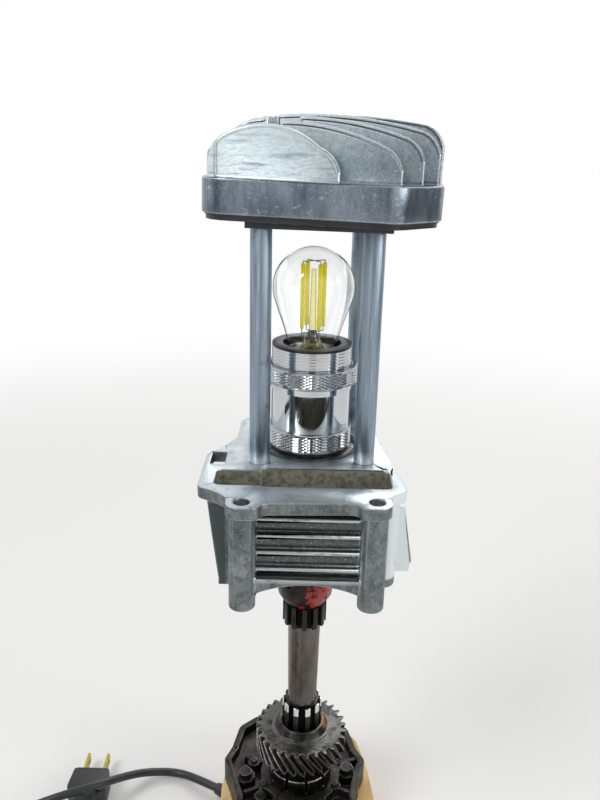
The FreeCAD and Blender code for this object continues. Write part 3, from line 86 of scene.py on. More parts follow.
def finish(name, colour, roughness, metallic=0.0):
    """A new material with the plain values of its shader set."""
    material = bpy.data.materials.new(name)
    material.use_nodes = True
    tree = material.node_tree
    shader = tree.nodes["Principled BSDF"]
    shader.inputs["Base Color"].default_value = linear(colour)
    shader.inputs["Roughness"].default_value = roughness
    shader.inputs["Metallic"].default_value = metallic
    material.diffuse_color = linear(colour)
    return material, tree, shader


def placed(tree, scale=(1, 1, 1), shift=(0, 0, 0), turn=(0, 0, 0)):
    """The coordinates of the piece's own frame, scaled, moved and turned."""
    place = add(tree, "ShaderNodeTexCoord").outputs["Object"]
    return add(tree, "ShaderNodeMapping", {"Vector": place, "Scale": scale, "Location": shift,
                                           "Rotation": turn}).outputs["Vector"]


def raised(tree, shader, height, lift):
    """Bumps that stand lift mm high where height is 1."""
    bump = add(tree, "ShaderNodeBump", {"Height": height, "Distance": lift * MM, "Strength": 1.0})
    tree.links.new(bump.outputs["Normal"], shader.inputs["Normal"])


# Noise seldom leaves the middle of its range, so the tones of a ramp lie between these two values.
NOISE_LOW = 0.36
NOISE_HIGH = 0.64


def patchy(name, tones, roughness, metallic, patch, grain, lift, spread=0.1, stretch=(1, 1, 1)):
    """A finish whose colour drifts between tones over patch mm.

    Its grain is grain mm across, and stands lift mm high."""
    material, tree, shader = finish(name, tones[0], roughness, metallic)
    place = placed(tree, stretch)
    drift = add(tree, "ShaderNodeTexNoise", {"Vector": place, "Scale": 1000 / patch, "Detail": 6.0,
                                             "Roughness": 0.6})
    ramp = add(tree, "ShaderNodeValToRGB", {"Fac": drift.outputs["Fac"]})
    steps = ramp.color_ramp.elements
    steps[0].position = NOISE_LOW
    steps[0].color = linear(tones[0])
    steps[1].position = NOISE_HIGH
    steps[1].color = linear(tones[-1])
    for k, tone in enumerate(tones[1:-1]):
        share = (k + 1) / (len(tones) - 1)
        steps.new(NOISE_LOW + (NOISE_HIGH - NOISE_LOW) * share).color = linear(tone)
    tree.links.new(ramp.outputs["Color"], shader.inputs["Base Color"])
    fine = add(tree, "ShaderNodeTexNoise", {"Vector": place, "Scale": 1000 / grain, "Detail": 3.0})
    rough = add(tree, "ShaderNodeMapRange", {"Value": fine.outputs["Fac"], "From Min": 0.3, "From Max": 0.7,
                                             "To Min": roughness - spread, "To Max": roughness + spread})
    tree.links.new(rough.outputs["Result"], shader.inputs["Roughness"])
    raised(tree, shader, fine.outputs["Fac"], lift)
    return material, tree, shader


def coat(thing, *materials):
    """Gives a piece its materials in place of any it has."""
    thing.data.materials.clear()
    for material in materials:
        thing.data.materials.append(material)


def seat(piece, body, slot, *nodes):
    """Rides a piece on its body and hides the solids that it stands for. Its slot is not used."""
    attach(piece, body)
    if nodes:
        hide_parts(*nodes)
    piece.select_set(False)
    return piece


vinyl, _, _ = patchy("drawn black vinyl", ("1B1D20", "26292D"), 0.4, 0.0, 30, 0.6, 0.02)

CORD_RADIUS = 2.5
CORD_ROUTE = (
    (-28.3, 0.9, 6), (-46, 10.3, 6), (-62.5, 19.1, 6), (-80, 30, 2.6), (-100, 25.5, 6.6), (-112, 12.5, 15),
    (-124, -2.3, 22.8), (-149, -13.5, 22.8), (-176, -19, 13.5), (-198, -35, 7), (-198, -59, 7),
    (-198, -87, 7), (-198, -105, 7), (-198, -116, 3.5),
)
COIL_CENTRE = (-166, -128.5)
COIL_RADIUS = 32
COIL_TURNS = 1.75
COIL_STEP = 6.4
COIL_LAYERS = 4
COIL_LAYER_STEP = 5.8
COIL_LOW = 3.5
TURN_POINTS = 16
CORD_TO_PLUG = ((-134, -102.1, 20.9), (-134, -56.5, 7.5), (-134, -8.5, 7.5))

coil_points = []
angle, radius, level = math.pi, COIL_RADIUS, COIL_LOW
step_angle = 2 * math.pi / TURN_POINTS
outset = 1 / (0.75 + 0.25 * math.cos(step_angle))


def coil_point(rise=0):
    """The next point of the coil, a little outside its line, as the spline passes inside its points."""
    reach = radius * outset
    coil_points.append((COIL_CENTRE[0] + reach * math.cos(angle), COIL_CENTRE[1] + reach * math.sin(angle),
                        level + rise))


for layer in range(COIL_LAYERS):
    for k in range(int(COIL_TURNS * TURN_POINTS)):
        coil_point()
        angle += step_angle
        radius += COIL_STEP / TURN_POINTS * (-1 if layer % 2 == 0 else 1)
    if layer < COIL_LAYERS - 1:
        for k in range(TURN_POINTS // 2):
            coil_point(COIL_LAYER_STEP * (1 - math.cos(step_angle * k)) / 2)
            angle += step_angle
        level += COIL_LAYER_STEP
coil_point()

bpy.ops.curve.primitive_nurbs_path_add(location=(0, 0, 0))
cord = bpy.context.object
cord.name = "lamp_cord"
cord.data.splines.clear()
spline = cord.data.splines.new("NURBS")
route = [Vector(p) * MM for p in (*CORD_ROUTE, *coil_points, *CORD_TO_PLUG)]
spline.points.add(len(route) - 1)
for point, place in zip(spline.points, route):
    point.co = (*place, 1)
spline.order_u = 3
spline.use_endpoint_u = True
spline.resolution_u = 8
cord.data.dimensions = "3D"
cord.data.bevel_depth = CORD_RADIUS * MM
cord.data.bevel_resolution = 5
cord.data.use_fill_caps = True
coat(cord, vinyl)
seat(cord, "lamp", "cord_sheath", "cord", "cord_coil")


# The wooden foot. A sawn block of pale softwood, glued and screwed under the steel, its edges broken with
# sandpaper. Growth rings cross it as bands a few millimetres apart, with darker pores along the grain.
WOOD_RING = 3.4
WOOD_BEVEL = 0.9


def worked(node, name, bevel, angle=32, steps=2, split=False):
    """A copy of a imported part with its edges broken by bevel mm, as a file or a tumbler leaves them.

    Split cuts its concave faces up first, so that a bevel near a narrow neck can't fold a large face."""
    piece = bpy.data.objects.new(name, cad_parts[node].data.copy())
    bpy.context.collection.objects.link(piece)
    bpy.context.view_layer.objects.active = piece
    piece.select_set(True)
    bpy.ops.object.mode_set(mode="EDIT")
    bpy.ops.mesh.select_all(action="SELECT")
    bpy.ops.mesh.remove_doubles(threshold=0.002 * MM)
    bpy.ops.mesh.dissolve_limited(angle_limit=math.radians(1))
    if split:
        bpy.ops.mesh.vert_connect_concave()
    bpy.ops.object.mode_set(mode="OBJECT")
    edge = piece.modifiers.new("broken edges", "BEVEL")
    edge.width = bevel * MM
    edge.segments = steps
    edge.limit_method = "ANGLE"
    edge.angle_limit = math.radians(angle)
    edge.use_clamp_overlap = False
    edge.miter_outer = "MITER_ARC"
    bpy.ops.object.modifier_apply(modifier=edge.name)
    bpy.ops.object.shade_smooth_by_angle(angle=math.radians(angle))
    return piece


def over(tree, shader, socket, mask, value):
    """Lays a colour or a number over what the shader's socket has, where the mask is 1."""
    target = shader.inputs[socket]
    kind, first, second, out = ("RGBA", 6, 7, 2) if target.type == "RGBA" else ("FLOAT", 2, 3, 0)
    start = target.links[0].from_socket if target.is_linked else target.default_value
    mixed = add(tree, "ShaderNodeMix", {0: mask}, data_type=kind)
    if target.is_linked:
        tree.links.new(start, mixed.inputs[first])
    else:
        mixed.inputs[first].default_value = start
    mixed.inputs[second].default_value = value
    tree.links.new(mixed.outputs[out], target)


def stained(tree, size, low, high, stretch=(1, 1, 1), shift=(0, 0, 0)):
    """A mask of irregular patches, size mm across, that fades in from low to high of their noise."""
    patches = add(tree, "ShaderNodeTexNoise", {"Vector": placed(tree, stretch, shift), "Scale": 1000 / size,
                                               "Detail": 6.0, "Roughness": 0.62})
    return add(tree, "ShaderNodeMapRange", {"Value": patches.outputs["Fac"], "From Min": low,
                                            "From Max": high}).outputs["Result"]


def past(tree, axis, start, end, source="Object"):
    """A mask that rises from 0 to 1 between two places in mm along an axis of the frame."""
    if source == "Object":
        vector = add(tree, "ShaderNodeTexCoord").outputs["Object"]
        start, end = start * MM, end * MM
    else:
        vector = add(tree, "ShaderNodeNewGeometry").outputs[source]
    parts = add(tree, "ShaderNodeSeparateXYZ", {"Vector": vector})
    return add(tree, "ShaderNodeMapRange", {"Value": parts.outputs[axis], "From Min": start,
                                            "From Max": end}).outputs["Result"]


def away(tree, start, end):
    """A mask that rises from 0 to 1 between two distances in mm from the lamp's axis."""
    place = add(tree, "ShaderNodeTexCoord").outputs["Object"]
    flat = add(tree, "ShaderNodeVectorMath", {0: place, 1: (1, 1, 0)}, operation="MULTIPLY").outputs
    reach = add(tree, "ShaderNodeVectorMath", {0: flat["Vector"]}, operation="LENGTH").outputs["Value"]
    return add(tree, "ShaderNodeMapRange", {"Value": reach, "From Min": start * MM,
                                            "From Max": end * MM}).outputs["Result"]


def both(tree, *masks):
    """Where all of several masks are 1."""
    made = masks[0]
    for mask in masks[1:]:
        made = add(tree, "ShaderNodeMath", {0: made, 1: mask}, operation="MULTIPLY").outputs["Value"]
    return made


def rubbed(tree, width, keep=0.35):
    """A mask of the edges within width mm, broken up so that about keep of their length is left alone."""
    rounded = add(tree, "ShaderNodeBevel", {"Radius": width * MM}, samples=4).outputs["Normal"]
    face = add(tree, "ShaderNodeNewGeometry").outputs["Normal"]
    likeness = add(tree, "ShaderNodeVectorMath", {0: rounded, 1: face}, operation="DOT_PRODUCT")
    edge = add(tree, "ShaderNodeMapRange", {"Value": likeness.outputs["Value"], "From Min": 0.995,
                                            "From Max": 0.93})
    return both(tree, edge.outputs["Result"], stained(tree, 5, keep, keep + 0.2))


foot_wood, tree, shader = finish("sanded softwood", "D2B47A", 0.6)
grain_place = placed(tree, (0.22, 1, 1), turn=(0.5, 0, 0.2))
rings = add(tree, "ShaderNodeTexWave", {"Vector": grain_place, "Scale": 310 / WOOD_RING / 6.28,
                                        "Distortion": 5.0, "Detail": 3.0, "Detail Scale": 0.8},
            wave_type="BANDS", bands_direction="DIAGONAL")
ring_tones = add(tree, "ShaderNodeValToRGB", {"Fac": rings.outputs["Fac"]})
ring_tones.color_ramp.elements[0].color = linear("E6CB95")
ring_tones.color_ramp.elements[1].color = linear("CDA668")
ring_tones.color_ramp.elements[1].position = 0.9
tree.links.new(ring_tones.outputs["Color"], shader.inputs["Base Color"])
over(tree, shader, "Base Color", stained(tree, 0.7, 0.6, 0.72, (0.08, 1, 1)), linear("8F6C3E"))
over(tree, shader, "Base Color", stained(tree, 28, 0.52, 0.75), linear("A07B49"))
fibres = add(tree, "ShaderNodeTexNoise", {"Vector": grain_place, "Scale": 1600.0, "Detail": 4.0})
raised(tree, shader, fibres.outputs["Fac"], 0.06)

foot = worked("wood_foot", "sawn_foot", WOOD_BEVEL, split=True)
coat(foot, foot_wood)
seat(foot, "lamp", "sawn_wood", "wood_foot")

board, _, _ = patchy("pressed fibre board", ("6B5232", "7A5F3C", "5C4529"), 0.8, 0.0, 12, 0.9, 0.05)
coat(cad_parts["pocket_cover"], board)


# Screws, nuts, washers, dowels and the long studs. Turned steel, zinc plated, which is a soft blue grey
# shine with a cloudy, slightly mottled surface.
zinc, tree, shader = patchy("zinc plated steel", ("8E949A", "A9AEB1", "B9B7AC"), 0.32, 1.0, 5, 0.4, 0.01)
over(tree, shader, "Base Color", stained(tree, 3, 0.6, 0.75), linear("6F6A5E"))
for node in ("wood_screws", "cover_screws", "guide_dowel", "lamp_pipe", "long_studs", "pipe_nuts",
             "pipe_washers", "stud_nuts", "stud_washers", "switch_pin"):
    coat(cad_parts[node], zinc)


# The clutch plate. A pressed and cast steel disc out of a gearbox, with lobes, studs and rivets, still
# dark with baked oil. The oil is uneven, so it goes from dull brown black to a wet shine.
OIL_TONES = ("1F2022", "2B2B2B", "34312D", "3F3A34")

oiled_cast, tree, shader = patchy("oiled cast steel", OIL_TONES, 0.42, 0.85, 9, 0.8, 0.12, 0.16)
over(tree, shader, "Base Color", stained(tree, 4, 0.6, 0.8), linear("5A4736"))
over(tree, shader, "Metallic", stained(tree, 4, 0.6, 0.8), 0.2)
wear = rubbed(tree, 0.5)
over(tree, shader, "Base Color", wear, linear("8D8B86"))
over(tree, shader, "Roughness", wear, 0.28)

plate = worked("clutch_plate", "clutch_disc", 0.6, split=True)
coat(plate, oiled_cast)
seat(plate, "lamp", "gearbox_paint", "clutch_plate")
for node in ("plate_rivets", "plate_studs"):
    coat(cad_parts[node], oiled_cast)


# The slotted hub and the helical gear. Cut from steel and case hardened, then worn in a gearbox: nearly
# black flanks, teeth rubbed bright on their tips, a painted highlight on the flanks at the front left, and
# brown oil in the roots.
GEAR_TONES = ("232423", "30302F", "3C3B38", "282827")
BOSS_RADIUS = 16.6
BOSS_LOW = 70
TOOTH_ROOT = 23.5

gear_steel, tree, shader = patchy("case hardened gear steel", GEAR_TONES, 0.34, 1.0, 7, 0.35, 0.03, 0.14)
brown = stained(tree, 5, 0.55, 0.75, shift=(0.03, 0.01, 0))
over(tree, shader, "Base Color", brown, linear("5B3A26"))
over(tree, shader, "Metallic", brown, 0.35)
machined = both(tree, past(tree, "Z", 0.75, 0.95, "Normal"), stained(tree, 6, 0.36, 0.52))
over(tree, shader, "Base Color", machined, linear("575856"))
rust = both(tree, past(tree, "X", 4, 9), away(tree, BOSS_RADIUS + 0.6, BOSS_RADIUS),
            past(tree, "Z", BOSS_LOW, BOSS_LOW + 0.5), past(tree, "Y", -8, -3),
            stained(tree, 5, 0.36, 0.56))
over(tree, shader, "Base Color", rust, linear("8C5A26"))
over(tree, shader, "Metallic", rust, 0.0)
# Painted highlight: the flanks that face left, on the front left of the gear, are painted bright.
painted_flank_highlight = both(tree, past(tree, "X", -0.25, -0.5, "Normal"), away(tree, TOOTH_ROOT, TOOTH_ROOT + 1.5),
              past(tree, "X", 6, 0), past(tree, "Y", 0, -5), stained(tree, 4, 0.34, 0.5))
over(tree, shader, "Base Color", painted_flank_highlight, linear("C2C3C2"))
over(tree, shader, "Roughness", painted_flank_highlight, 0.22)
wear = rubbed(tree, 0.6, 0.25)
over(tree, shader, "Base Color", wear, linear("B5B2AC"))
over(tree, shader, "Roughness", wear, 0.2)

for node, name, bevel in (("slotted_hub", "hub_with_slots", 0.35),
                          ("helical_gear", "worn_helical_gear", 0.3)):
    piece = worked(node, name, bevel)
    coat(piece, gear_steel)
    seat(piece, "lamp", "dark_steel", node)


# The gearbox shaft. Ground steel with splines cut at both ends. Grinding leaves rings round it, drawn
# coarser than the real ones, so that its shine runs along it, and handling has left brown films on it.
SHAFT_TONES = ("4E4845", "5F5854", "6C6560", "554E4A")
GRIND_PITCH = 0.385
TOP_SPLINE = 144.3
TOP_SPLINE_ROOT = 11.3
LOW_SPLINE = (84.8, 90.6)
LOW_SPLINE_ROOT = 10.6

shaft_steel, tree, shader = patchy("ground shaft steel", SHAFT_TONES, 0.3, 1.0, 14, 0.5, 0.012, 0.08,
                                   (1, 1, 0.35))
ground_rings = add(tree, "ShaderNodeTexNoise", {"Vector": placed(tree, (0.03, 0.03, 1)),
                                                "Scale": 1000 / GRIND_PITCH, "Detail": 2.0})
raised(tree, shader, ground_rings.outputs["Fac"], 0.012)
over(tree, shader, "Base Color", stained(tree, 6, 0.58, 0.72), linear("4A3527"))
wear = rubbed(tree, 0.5, 0.3)
over(tree, shader, "Base Color", wear, linear("A5A19B"))
low, high = LOW_SPLINE
over(tree, shader, "Base Color", past(tree, "Z", high - 0.1, high - 0.4), linear("3B3A38"))
upper = past(tree, "Z", TOP_SPLINE - 1, TOP_SPLINE)
over(tree, shader, "Base Color", upper, linear("37322E"))
# Painted shade: the roots of the upper spline are painted near black.
upper_roots_painted_shade = both(tree, upper, away(tree, TOP_SPLINE_ROOT + 0.6, TOP_SPLINE_ROOT))
over(tree, shader, "Base Color", upper_roots_painted_shade, linear("100F0E"))
# Painted shade: the roots of the lower spline are painted near black.
spline_roots_painted_shade = both(tree, away(tree, LOW_SPLINE_ROOT + 0.6, LOW_SPLINE_ROOT), away(tree, 9, 9.3),
                    past(tree, "Z", high - 0.4, high - 0.8))
over(tree, shader, "Base Color", spline_roots_painted_shade, linear("0E0E0E"))
spline_tops = both(tree, past(tree, "Z", low, low + 0.6), past(tree, "Z", high, high - 0.3),
                   away(tree, LOW_SPLINE_ROOT + 0.1, LOW_SPLINE_ROOT + 0.5))
over(tree, shader, "Base Color", spline_tops, linear("D6D7D6"))
over(tree, shader, "Roughness", spline_tops, 0.24)

shaft = worked("main_shaft", "splined_shaft", 0.25)
coat(shaft, shaft_steel)
seat(shaft, "lamp", "shaft_steel", "main_shaft")


# The coupling. A splined steel sleeve that was brushed with red paint, most of which has been knocked and
# rubbed off. What is left is thick and glossy over dark oily steel.
OILY_TONES = ("251C1D", "33292A", "3E3432")

coupling_paint, tree, shader = patchy("chipped red enamel on steel", OILY_TONES, 0.4, 0.9, 6, 0.5, 0.05,
                                      0.12)
flakes = stained(tree, 9, 0.46, 0.49, (1, 1, 0.8), (0.004, 0.0, 0.013))
paint = both(tree, flakes, past(tree, "X", -4, -2.5))
over(tree, shader, "Base Color", paint, linear("96150F"))
over(tree, shader, "Metallic", paint, 0.0)
over(tree, shader, "Roughness", paint, 0.3)
wear = rubbed(tree, 0.5, 0.4)
over(tree, shader, "Base Color", wear, linear("8F8782"))
over(tree, shader, "Metallic", wear, 1.0)

coupling = worked("coupling", "painted_coupling", 0.35)
coat(coupling, coupling_paint)
seat(coupling, "lamp", "red_paint", "coupling")


# The two plates that the studs clamp, the floor of the cover and the holder's washer. Cut from steel sheet
# and sprayed black, which is an even satin with a slight orange peel and bright corners where it has worn.
black_paint, tree, shader = patchy("satin black paint", ("202224", "2B2D2F"), 0.38, 0.0, 20, 0.7, 0.02)
wear = rubbed(tree, 0.4, 0.5)
over(tree, shader, "Base Color", wear, linear("7C7E80"))
over(tree, shader, "Metallic", wear, 1.0)
for node, name in (("lower_plate", "lower_clamp_plate"), ("top_plate", "upper_clamp_plate")):
    piece = worked(node, name, 0.4)
    coat(piece, black_paint)
    seat(piece, "lamp", "black_plate", node)
for node in ("cover_floor", "holder_washer"):
    coat(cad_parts[node], black_paint)
gasket, _, _ = patchy("pressed gasket fibre", ("34332F", "403E39"), 0.75, 0.0, 10, 0.4, 0.04)
coat(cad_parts["cover_gasket"], gasket)


# The cylinder block. Sand cast aluminium, so its sides are a dull grainy grey. The deck is milled, the pad
# on its right is painted near white as painted light, and the outer edges of the front fins and all its
# corners are rubbed bright.
CAST_TONES = ("747C7D", "838B8B", "6B7273", "8C9393")
DECK_LEVEL = 252
FIN_EDGE = -66.2
PAD_SIDE = 35.8
PAD_LOW = 206
SLOT_SIDES = (-44.7, 38.6)
SLOT_ENDS = (-56.5, -34.8)
WINDOW_SIDES = (-25.5, 25)
WINDOW_LEVELS = (211, 244)


def within(tree, axis, low, high, fade):
    """A mask of what lies between two places in mm along an axis, that fades over fade mm at each."""
    return both(tree, past(tree, axis, low, low + fade), past(tree, axis, high, high - fade))


cast_alloy, tree, shader = patchy("sand cast aluminium", CAST_TONES, 0.46, 0.95, 11, 0.9, 0.16, 0.12)
grit = stained(tree, 1.3, 0.56, 0.7)
over(tree, shader, "Base Color", grit, linear("9EA5A6"))
grime = both(tree, stained(tree, 13, 0.5, 0.68), stained(tree, 1.0, 0.35, 0.6))
over(tree, shader, "Base Color", grime, linear("4F5657"))
over(tree, shader, "Roughness", grime, 0.6)
# Painted light: the pad on the right is painted near white where the light from the right falls on it.
painted_light_on_pad = both(tree, past(tree, "X", PAD_SIDE, PAD_SIDE + 0.8), past(tree, "Y", -30, -34),
                  past(tree, "Z", PAD_LOW, PAD_LOW + 1), stained(tree, 1.3, 0.24, 0.36))
over(tree, shader, "Base Color", painted_light_on_pad, linear("E4EBEE"))
over(tree, shader, "Metallic", painted_light_on_pad, 0.35)
over(tree, shader, "Roughness", painted_light_on_pad, 0.62)
# The walls of the chain slot are oily brown in patches, and are also painted lighter and dull as painted
# light, where little light reaches into the slot.
slot = both(tree, past(tree, "X", SLOT_SIDES[0], SLOT_SIDES[0] + 0.3),
            past(tree, "X", SLOT_SIDES[1], SLOT_SIDES[1] - 0.2), within(tree, "Y", *SLOT_ENDS, 0.3),
            past(tree, "Z", DECK_LEVEL - 0.4, DECK_LEVEL - 1.2))
over(tree, shader, "Base Color", slot, linear("7C7B6C"))
over(tree, shader, "Base Color", both(tree, slot, stained(tree, 3, 0.45, 0.6)), linear("5C5848"))
over(tree, shader, "Metallic", slot, 0.0)
over(tree, shader, "Roughness", slot, 0.6)
# Painted shade: the left wall under the deck is painted darker.
left_wall_painted_shade = both(tree, past(tree, "X", -37.8, -39), past(tree, "Z", 245.5, 244), past(tree, "Y", -34, -40))
over(tree, shader, "Base Color", left_wall_painted_shade, linear("4E5556"))
low, high = WINDOW_LEVELS
window = both(tree, past(tree, "Y", -60, -62), within(tree, "X", *WINDOW_SIDES, 1),
              past(tree, "Z", low, low + 1), past(tree, "Z", high, high - 2))
over(tree, shader, "Base Color", both(tree, window, stained(tree, 0.8, 0.3, 0.5)), linear("5A605C"))
specks = both(tree, window, stained(tree, 0.9, 0.58, 0.66, shift=(0.03, 0, 0)))
over(tree, shader, "Base Color", specks, linear("C0C5C3"))
fin_edges = both(tree, past(tree, "Y", FIN_EDGE, FIN_EDGE - 0.5), within(tree, "X", *WINDOW_SIDES, 1),
                 within(tree, "Z", low - 2, high + 1, 2), stained(tree, 3, 0.3, 0.45, (0.3, 1, 1)))
over(tree, shader, "Base Color", fin_edges, linear("C3C9CA"))
over(tree, shader, "Roughness", fin_edges, 0.34)
deck = both(tree, past(tree, "Z", DECK_LEVEL - 0.35, DECK_LEVEL - 0.1),
            past(tree, "Z", 0.8, 0.95, "Normal"))
over(tree, shader, "Base Color", deck, linear("C3CCD0"))
over(tree, shader, "Roughness", deck, 0.33)
over(tree, shader, "Base Color", both(tree, deck, stained(tree, 7, 0.54, 0.74)), linear("98A1A5"))
wear = rubbed(tree, 0.9, 0.28)
over(tree, shader, "Base Color", wear, linear("C6CCCD"))
over(tree, shader, "Roughness", wear, 0.3)

block = worked("cylinder_block", "cast_cylinder", 0.7, split=True)
coat(block, cast_alloy)
seat(block, "lamp", "cast_alloy", "cylinder_block")


# The liner, the piston and its rings. The liner is grey iron, honed bright inside, and the piston is turned
# aluminium with a brown film of burnt oil on its crown.
PISTON_TONES = ("8C8F90", "9A9D9E", "7E7A74")
CROWN_LEVEL = 251.3

iron, _, _ = patchy("honed grey iron", ("5C5E60", "6E7072", "54504B"), 0.36, 1.0, 8, 0.5, 0.03)
coat(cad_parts["cylinder_liner"], iron)
coat(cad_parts["piston_rings"], iron)
piston_alloy, tree, shader = patchy("turned piston alloy", PISTON_TONES, 0.34, 1.0, 10, 0.5, 0.02)
burnt = both(tree, past(tree, "Z", CROWN_LEVEL - 0.5, CROWN_LEVEL), stained(tree, 7, 0.4, 0.6))
over(tree, shader, "Base Color", burnt, linear("4D3F33"))
piston = worked("piston", "turned_piston", 0.3)
coat(piston, piston_alloy)
seat(piston, "lamp", "piston_alloy", "piston")


# The four spacer tubes round the bulb. Drawn steel tube with a satin face from fine abrasive cloth, drawn
# along it, so it is streaked lengthways. Its lowest few millimetres are filed brighter.
TUBE_TONES = ("8393A2", "8F9FAC", "9BAAB6", "8898A6")

tube_steel, tree, shader = patchy("brushed tube steel", TUBE_TONES, 0.42, 1.0, 3, 0.5, 0.014, 0.06,
                                  (1, 1, 0.04))
over(tree, shader, "Base Color", stained(tree, 1.1, 0.58, 0.7, (1, 1, 0.03)), linear("C4CFDB"))
over(tree, shader, "Base Color", stained(tree, 9, 0.6, 0.74), linear("6C7889"))
over(tree, shader, "Base Color", past(tree, "Z", 259, 255), linear("CDD3DA"))
for side in ("front_left", "front_right", "rear_left", "rear_right"):
    tube = worked("spacer_tube_" + side, "tube_" + side, 0.3)
    coat(tube, tube_steel)
    seat(tube, "lamp", "tube_steel", "spacer_tube_" + side)


# The lamp holder. Brass, turned and chrome plated to a mirror, with a threaded top for the shade ring. Its
# knurled bands are rows of small pyramids rolled in for the fingers, drawn 1.5 mm apart so that they show.
KNURL_PITCH = 1.5
KNURL_HEIGHT = 0.5
FOOT_RADIUS = 21.3
FOOT_BORE = 17
FOOT_LEVELS = (253, 263)
RING_RADIUS = 23.4
RING_BORE = 20.75
RING_LEVELS = (287, 295.8)
RIM_WIDTH = 0.8

chrome, tree, shader = patchy("bright chrome plate", ("C9CDCF", "D6D9DA"), 0.07, 1.0, 25, 3.0, 0.004, 0.03)
over(tree, shader, "Roughness", stained(tree, 8, 0.52, 0.75), 0.17)
rolled, _, _ = patchy("rolled chrome plate", ("A9AEB2", "BCC1C4"), 0.2, 1.0, 4, 1.0, 0.004, 0.05)


def knurled(name, radius, levels, bore):
    """A ring with a knurled rim between two levels. The knurls are pushed out of a fine grid by turns."""
    low, high = levels
    middle = (low + high) / 2
    band = high - low - 2 * RIM_WIDTH
    around = 2 * round(math.pi * radius / KNURL_PITCH)
    rows = round(band / KNURL_PITCH * 2)
    bpy.ops.mesh.primitive_cylinder_add(vertices=around, radius=(radius - KNURL_HEIGHT) * MM,
                                        depth=band * MM, end_fill_type="NOTHING",
                                        location=(0, 0, middle * MM))
    ring = bpy.context.object
    ring.name = name
    bpy.ops.object.transform_apply(location=True, rotation=False, scale=False)
    bpy.ops.object.mode_set(mode="EDIT")
    bpy.ops.mesh.select_all(action="DESELECT")
    mesh = bmesh.from_edit_mesh(ring.data)
    for edge in mesh.edges:
        edge.select_set(abs(edge.verts[0].co.z - edge.verts[1].co.z) > MM)
    bpy.ops.mesh.subdivide(number_cuts=rows - 1)
    mesh = bmesh.from_edit_mesh(ring.data)
    step = band / rows
    for vertex in mesh.verts:
        column = round((math.atan2(vertex.co.y, vertex.co.x) / (2 * math.pi) + 0.5) * around)
        row = round((vertex.co.z / MM - low - RIM_WIDTH) / step)
        if (column + row) % 2 and 0 < row < rows:
            vertex.co.xy *= radius / (radius - KNURL_HEIGHT)
    bpy.ops.mesh.select_all(action="SELECT")
    bpy.ops.mesh.quads_convert_to_tris(quad_method="SHORTEST_DIAGONAL")
    for end, way in ((low, -1), (high, 1)):
        flat = end - way * RIM_WIDTH
        for reach, level in ((radius - 0.15, flat + way * 0.1), (radius - 0.15, end - way * 0.35),
                             (radius - 0.5, end), (bore + 0.3, end), (bore, end - way * 0.3)):
            mesh = bmesh.from_edit_mesh(ring.data)
            for part in (*mesh.verts, *mesh.edges, *mesh.faces):
                part.select_set(False)
            for edge in mesh.edges:
                if edge.is_boundary and all((v.co.z / MM - middle) * way > 0 for v in edge.verts):
                    edge.select_set(True)
            bpy.ops.mesh.extrude_region_move()
            mesh = bmesh.from_edit_mesh(ring.data)
            for vertex in mesh.verts:
                if vertex.select:
                    vertex.co.xy = vertex.co.xy.normalized() * reach * MM
                    vertex.co.z = level * MM
    mesh = bmesh.from_edit_mesh(ring.data)
    for edge in mesh.edges:
        edge.select_set(edge.is_boundary)
    bpy.ops.mesh.bridge_edge_loops()
    bpy.ops.mesh.select_all(action="SELECT")
    bpy.ops.mesh.normals_make_consistent(inside=False)
    bpy.ops.object.mode_set(mode="OBJECT")
    bpy.ops.object.shade_smooth_by_angle(angle=math.radians(18))
    return ring


holder_foot = knurled("knurled_holder_foot", FOOT_RADIUS, FOOT_LEVELS, FOOT_BORE)
coat(holder_foot, rolled)
seat(holder_foot, "lamp", "chrome_plate", "holder_foot")
shade_ring = knurled("knurled_shade_ring", RING_RADIUS, RING_LEVELS, RING_BORE)
coat(shade_ring, rolled)
seat(shade_ring, "shade_ring", "chrome_plate", "shade_ring")
shell = worked("holder_shell", "threaded_holder_shell", 0.12, 25)
coat(shell, chrome)
seat(shell, "lamp", "chrome_plate", "holder_shell")


# The holder's insides. The insert is black phenolic, pressed in a hot mould to a dull gloss, and the screw
# shell and the contacts are stamped from brass sheet, which stays yellow with a few brown stains.
phenolic, _, _ = patchy("moulded black phenolic", ("0C0D0E", "131415"), 0.42, 0.0, 14, 0.8, 0.015)
insert = worked("holder_insert", "moulded_holder_insert", 0.3)
coat(insert, phenolic)
seat(insert, "lamp", "black_insulator", "holder_insert")
coat(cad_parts["bulb_insulator"], phenolic)
brass, tree, shader = patchy("stamped brass sheet", ("A79A3E", "BEB04C", "9A8C36"), 0.28, 1.0, 6, 0.4, 0.01)
over(tree, shader, "Base Color", stained(tree, 3, 0.62, 0.78), linear("5F4524"))
for node in ("screw_shell", "terminal_screws", "centre_contact", "plug_pins"):
    coat(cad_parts[node], brass)
coat(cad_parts["pipe_leads"], vinyl)


# The bulb. A thin blown glass globe on a plated screw cap, clear enough to see the glass stem inside it,
# with four filament strips. Each strip is coated with yellow phosphor in silicone and hangs on wires.
GLOBE_RADIUS = 20.25
GLOBE_LEVEL = 334
GLASS_WALL = 0.7
NECK_RADIUS = 12.15
NECK = ((18.8, 326.4), (17.9, 323.4), (16.7, 320), (15.3, 316), (14.1, 312.2), (13.1, 308), (12.45, 303.5),
        (NECK_RADIUS, 299.2))
STRIP_COUNT = 4
STRIP_CIRCLE = 6.2
STRIP_TURN = 30
WIRE_TURN = 18
STRIP_LEVELS = (313.5, 346)
STRIP_RADIUS = 1.25


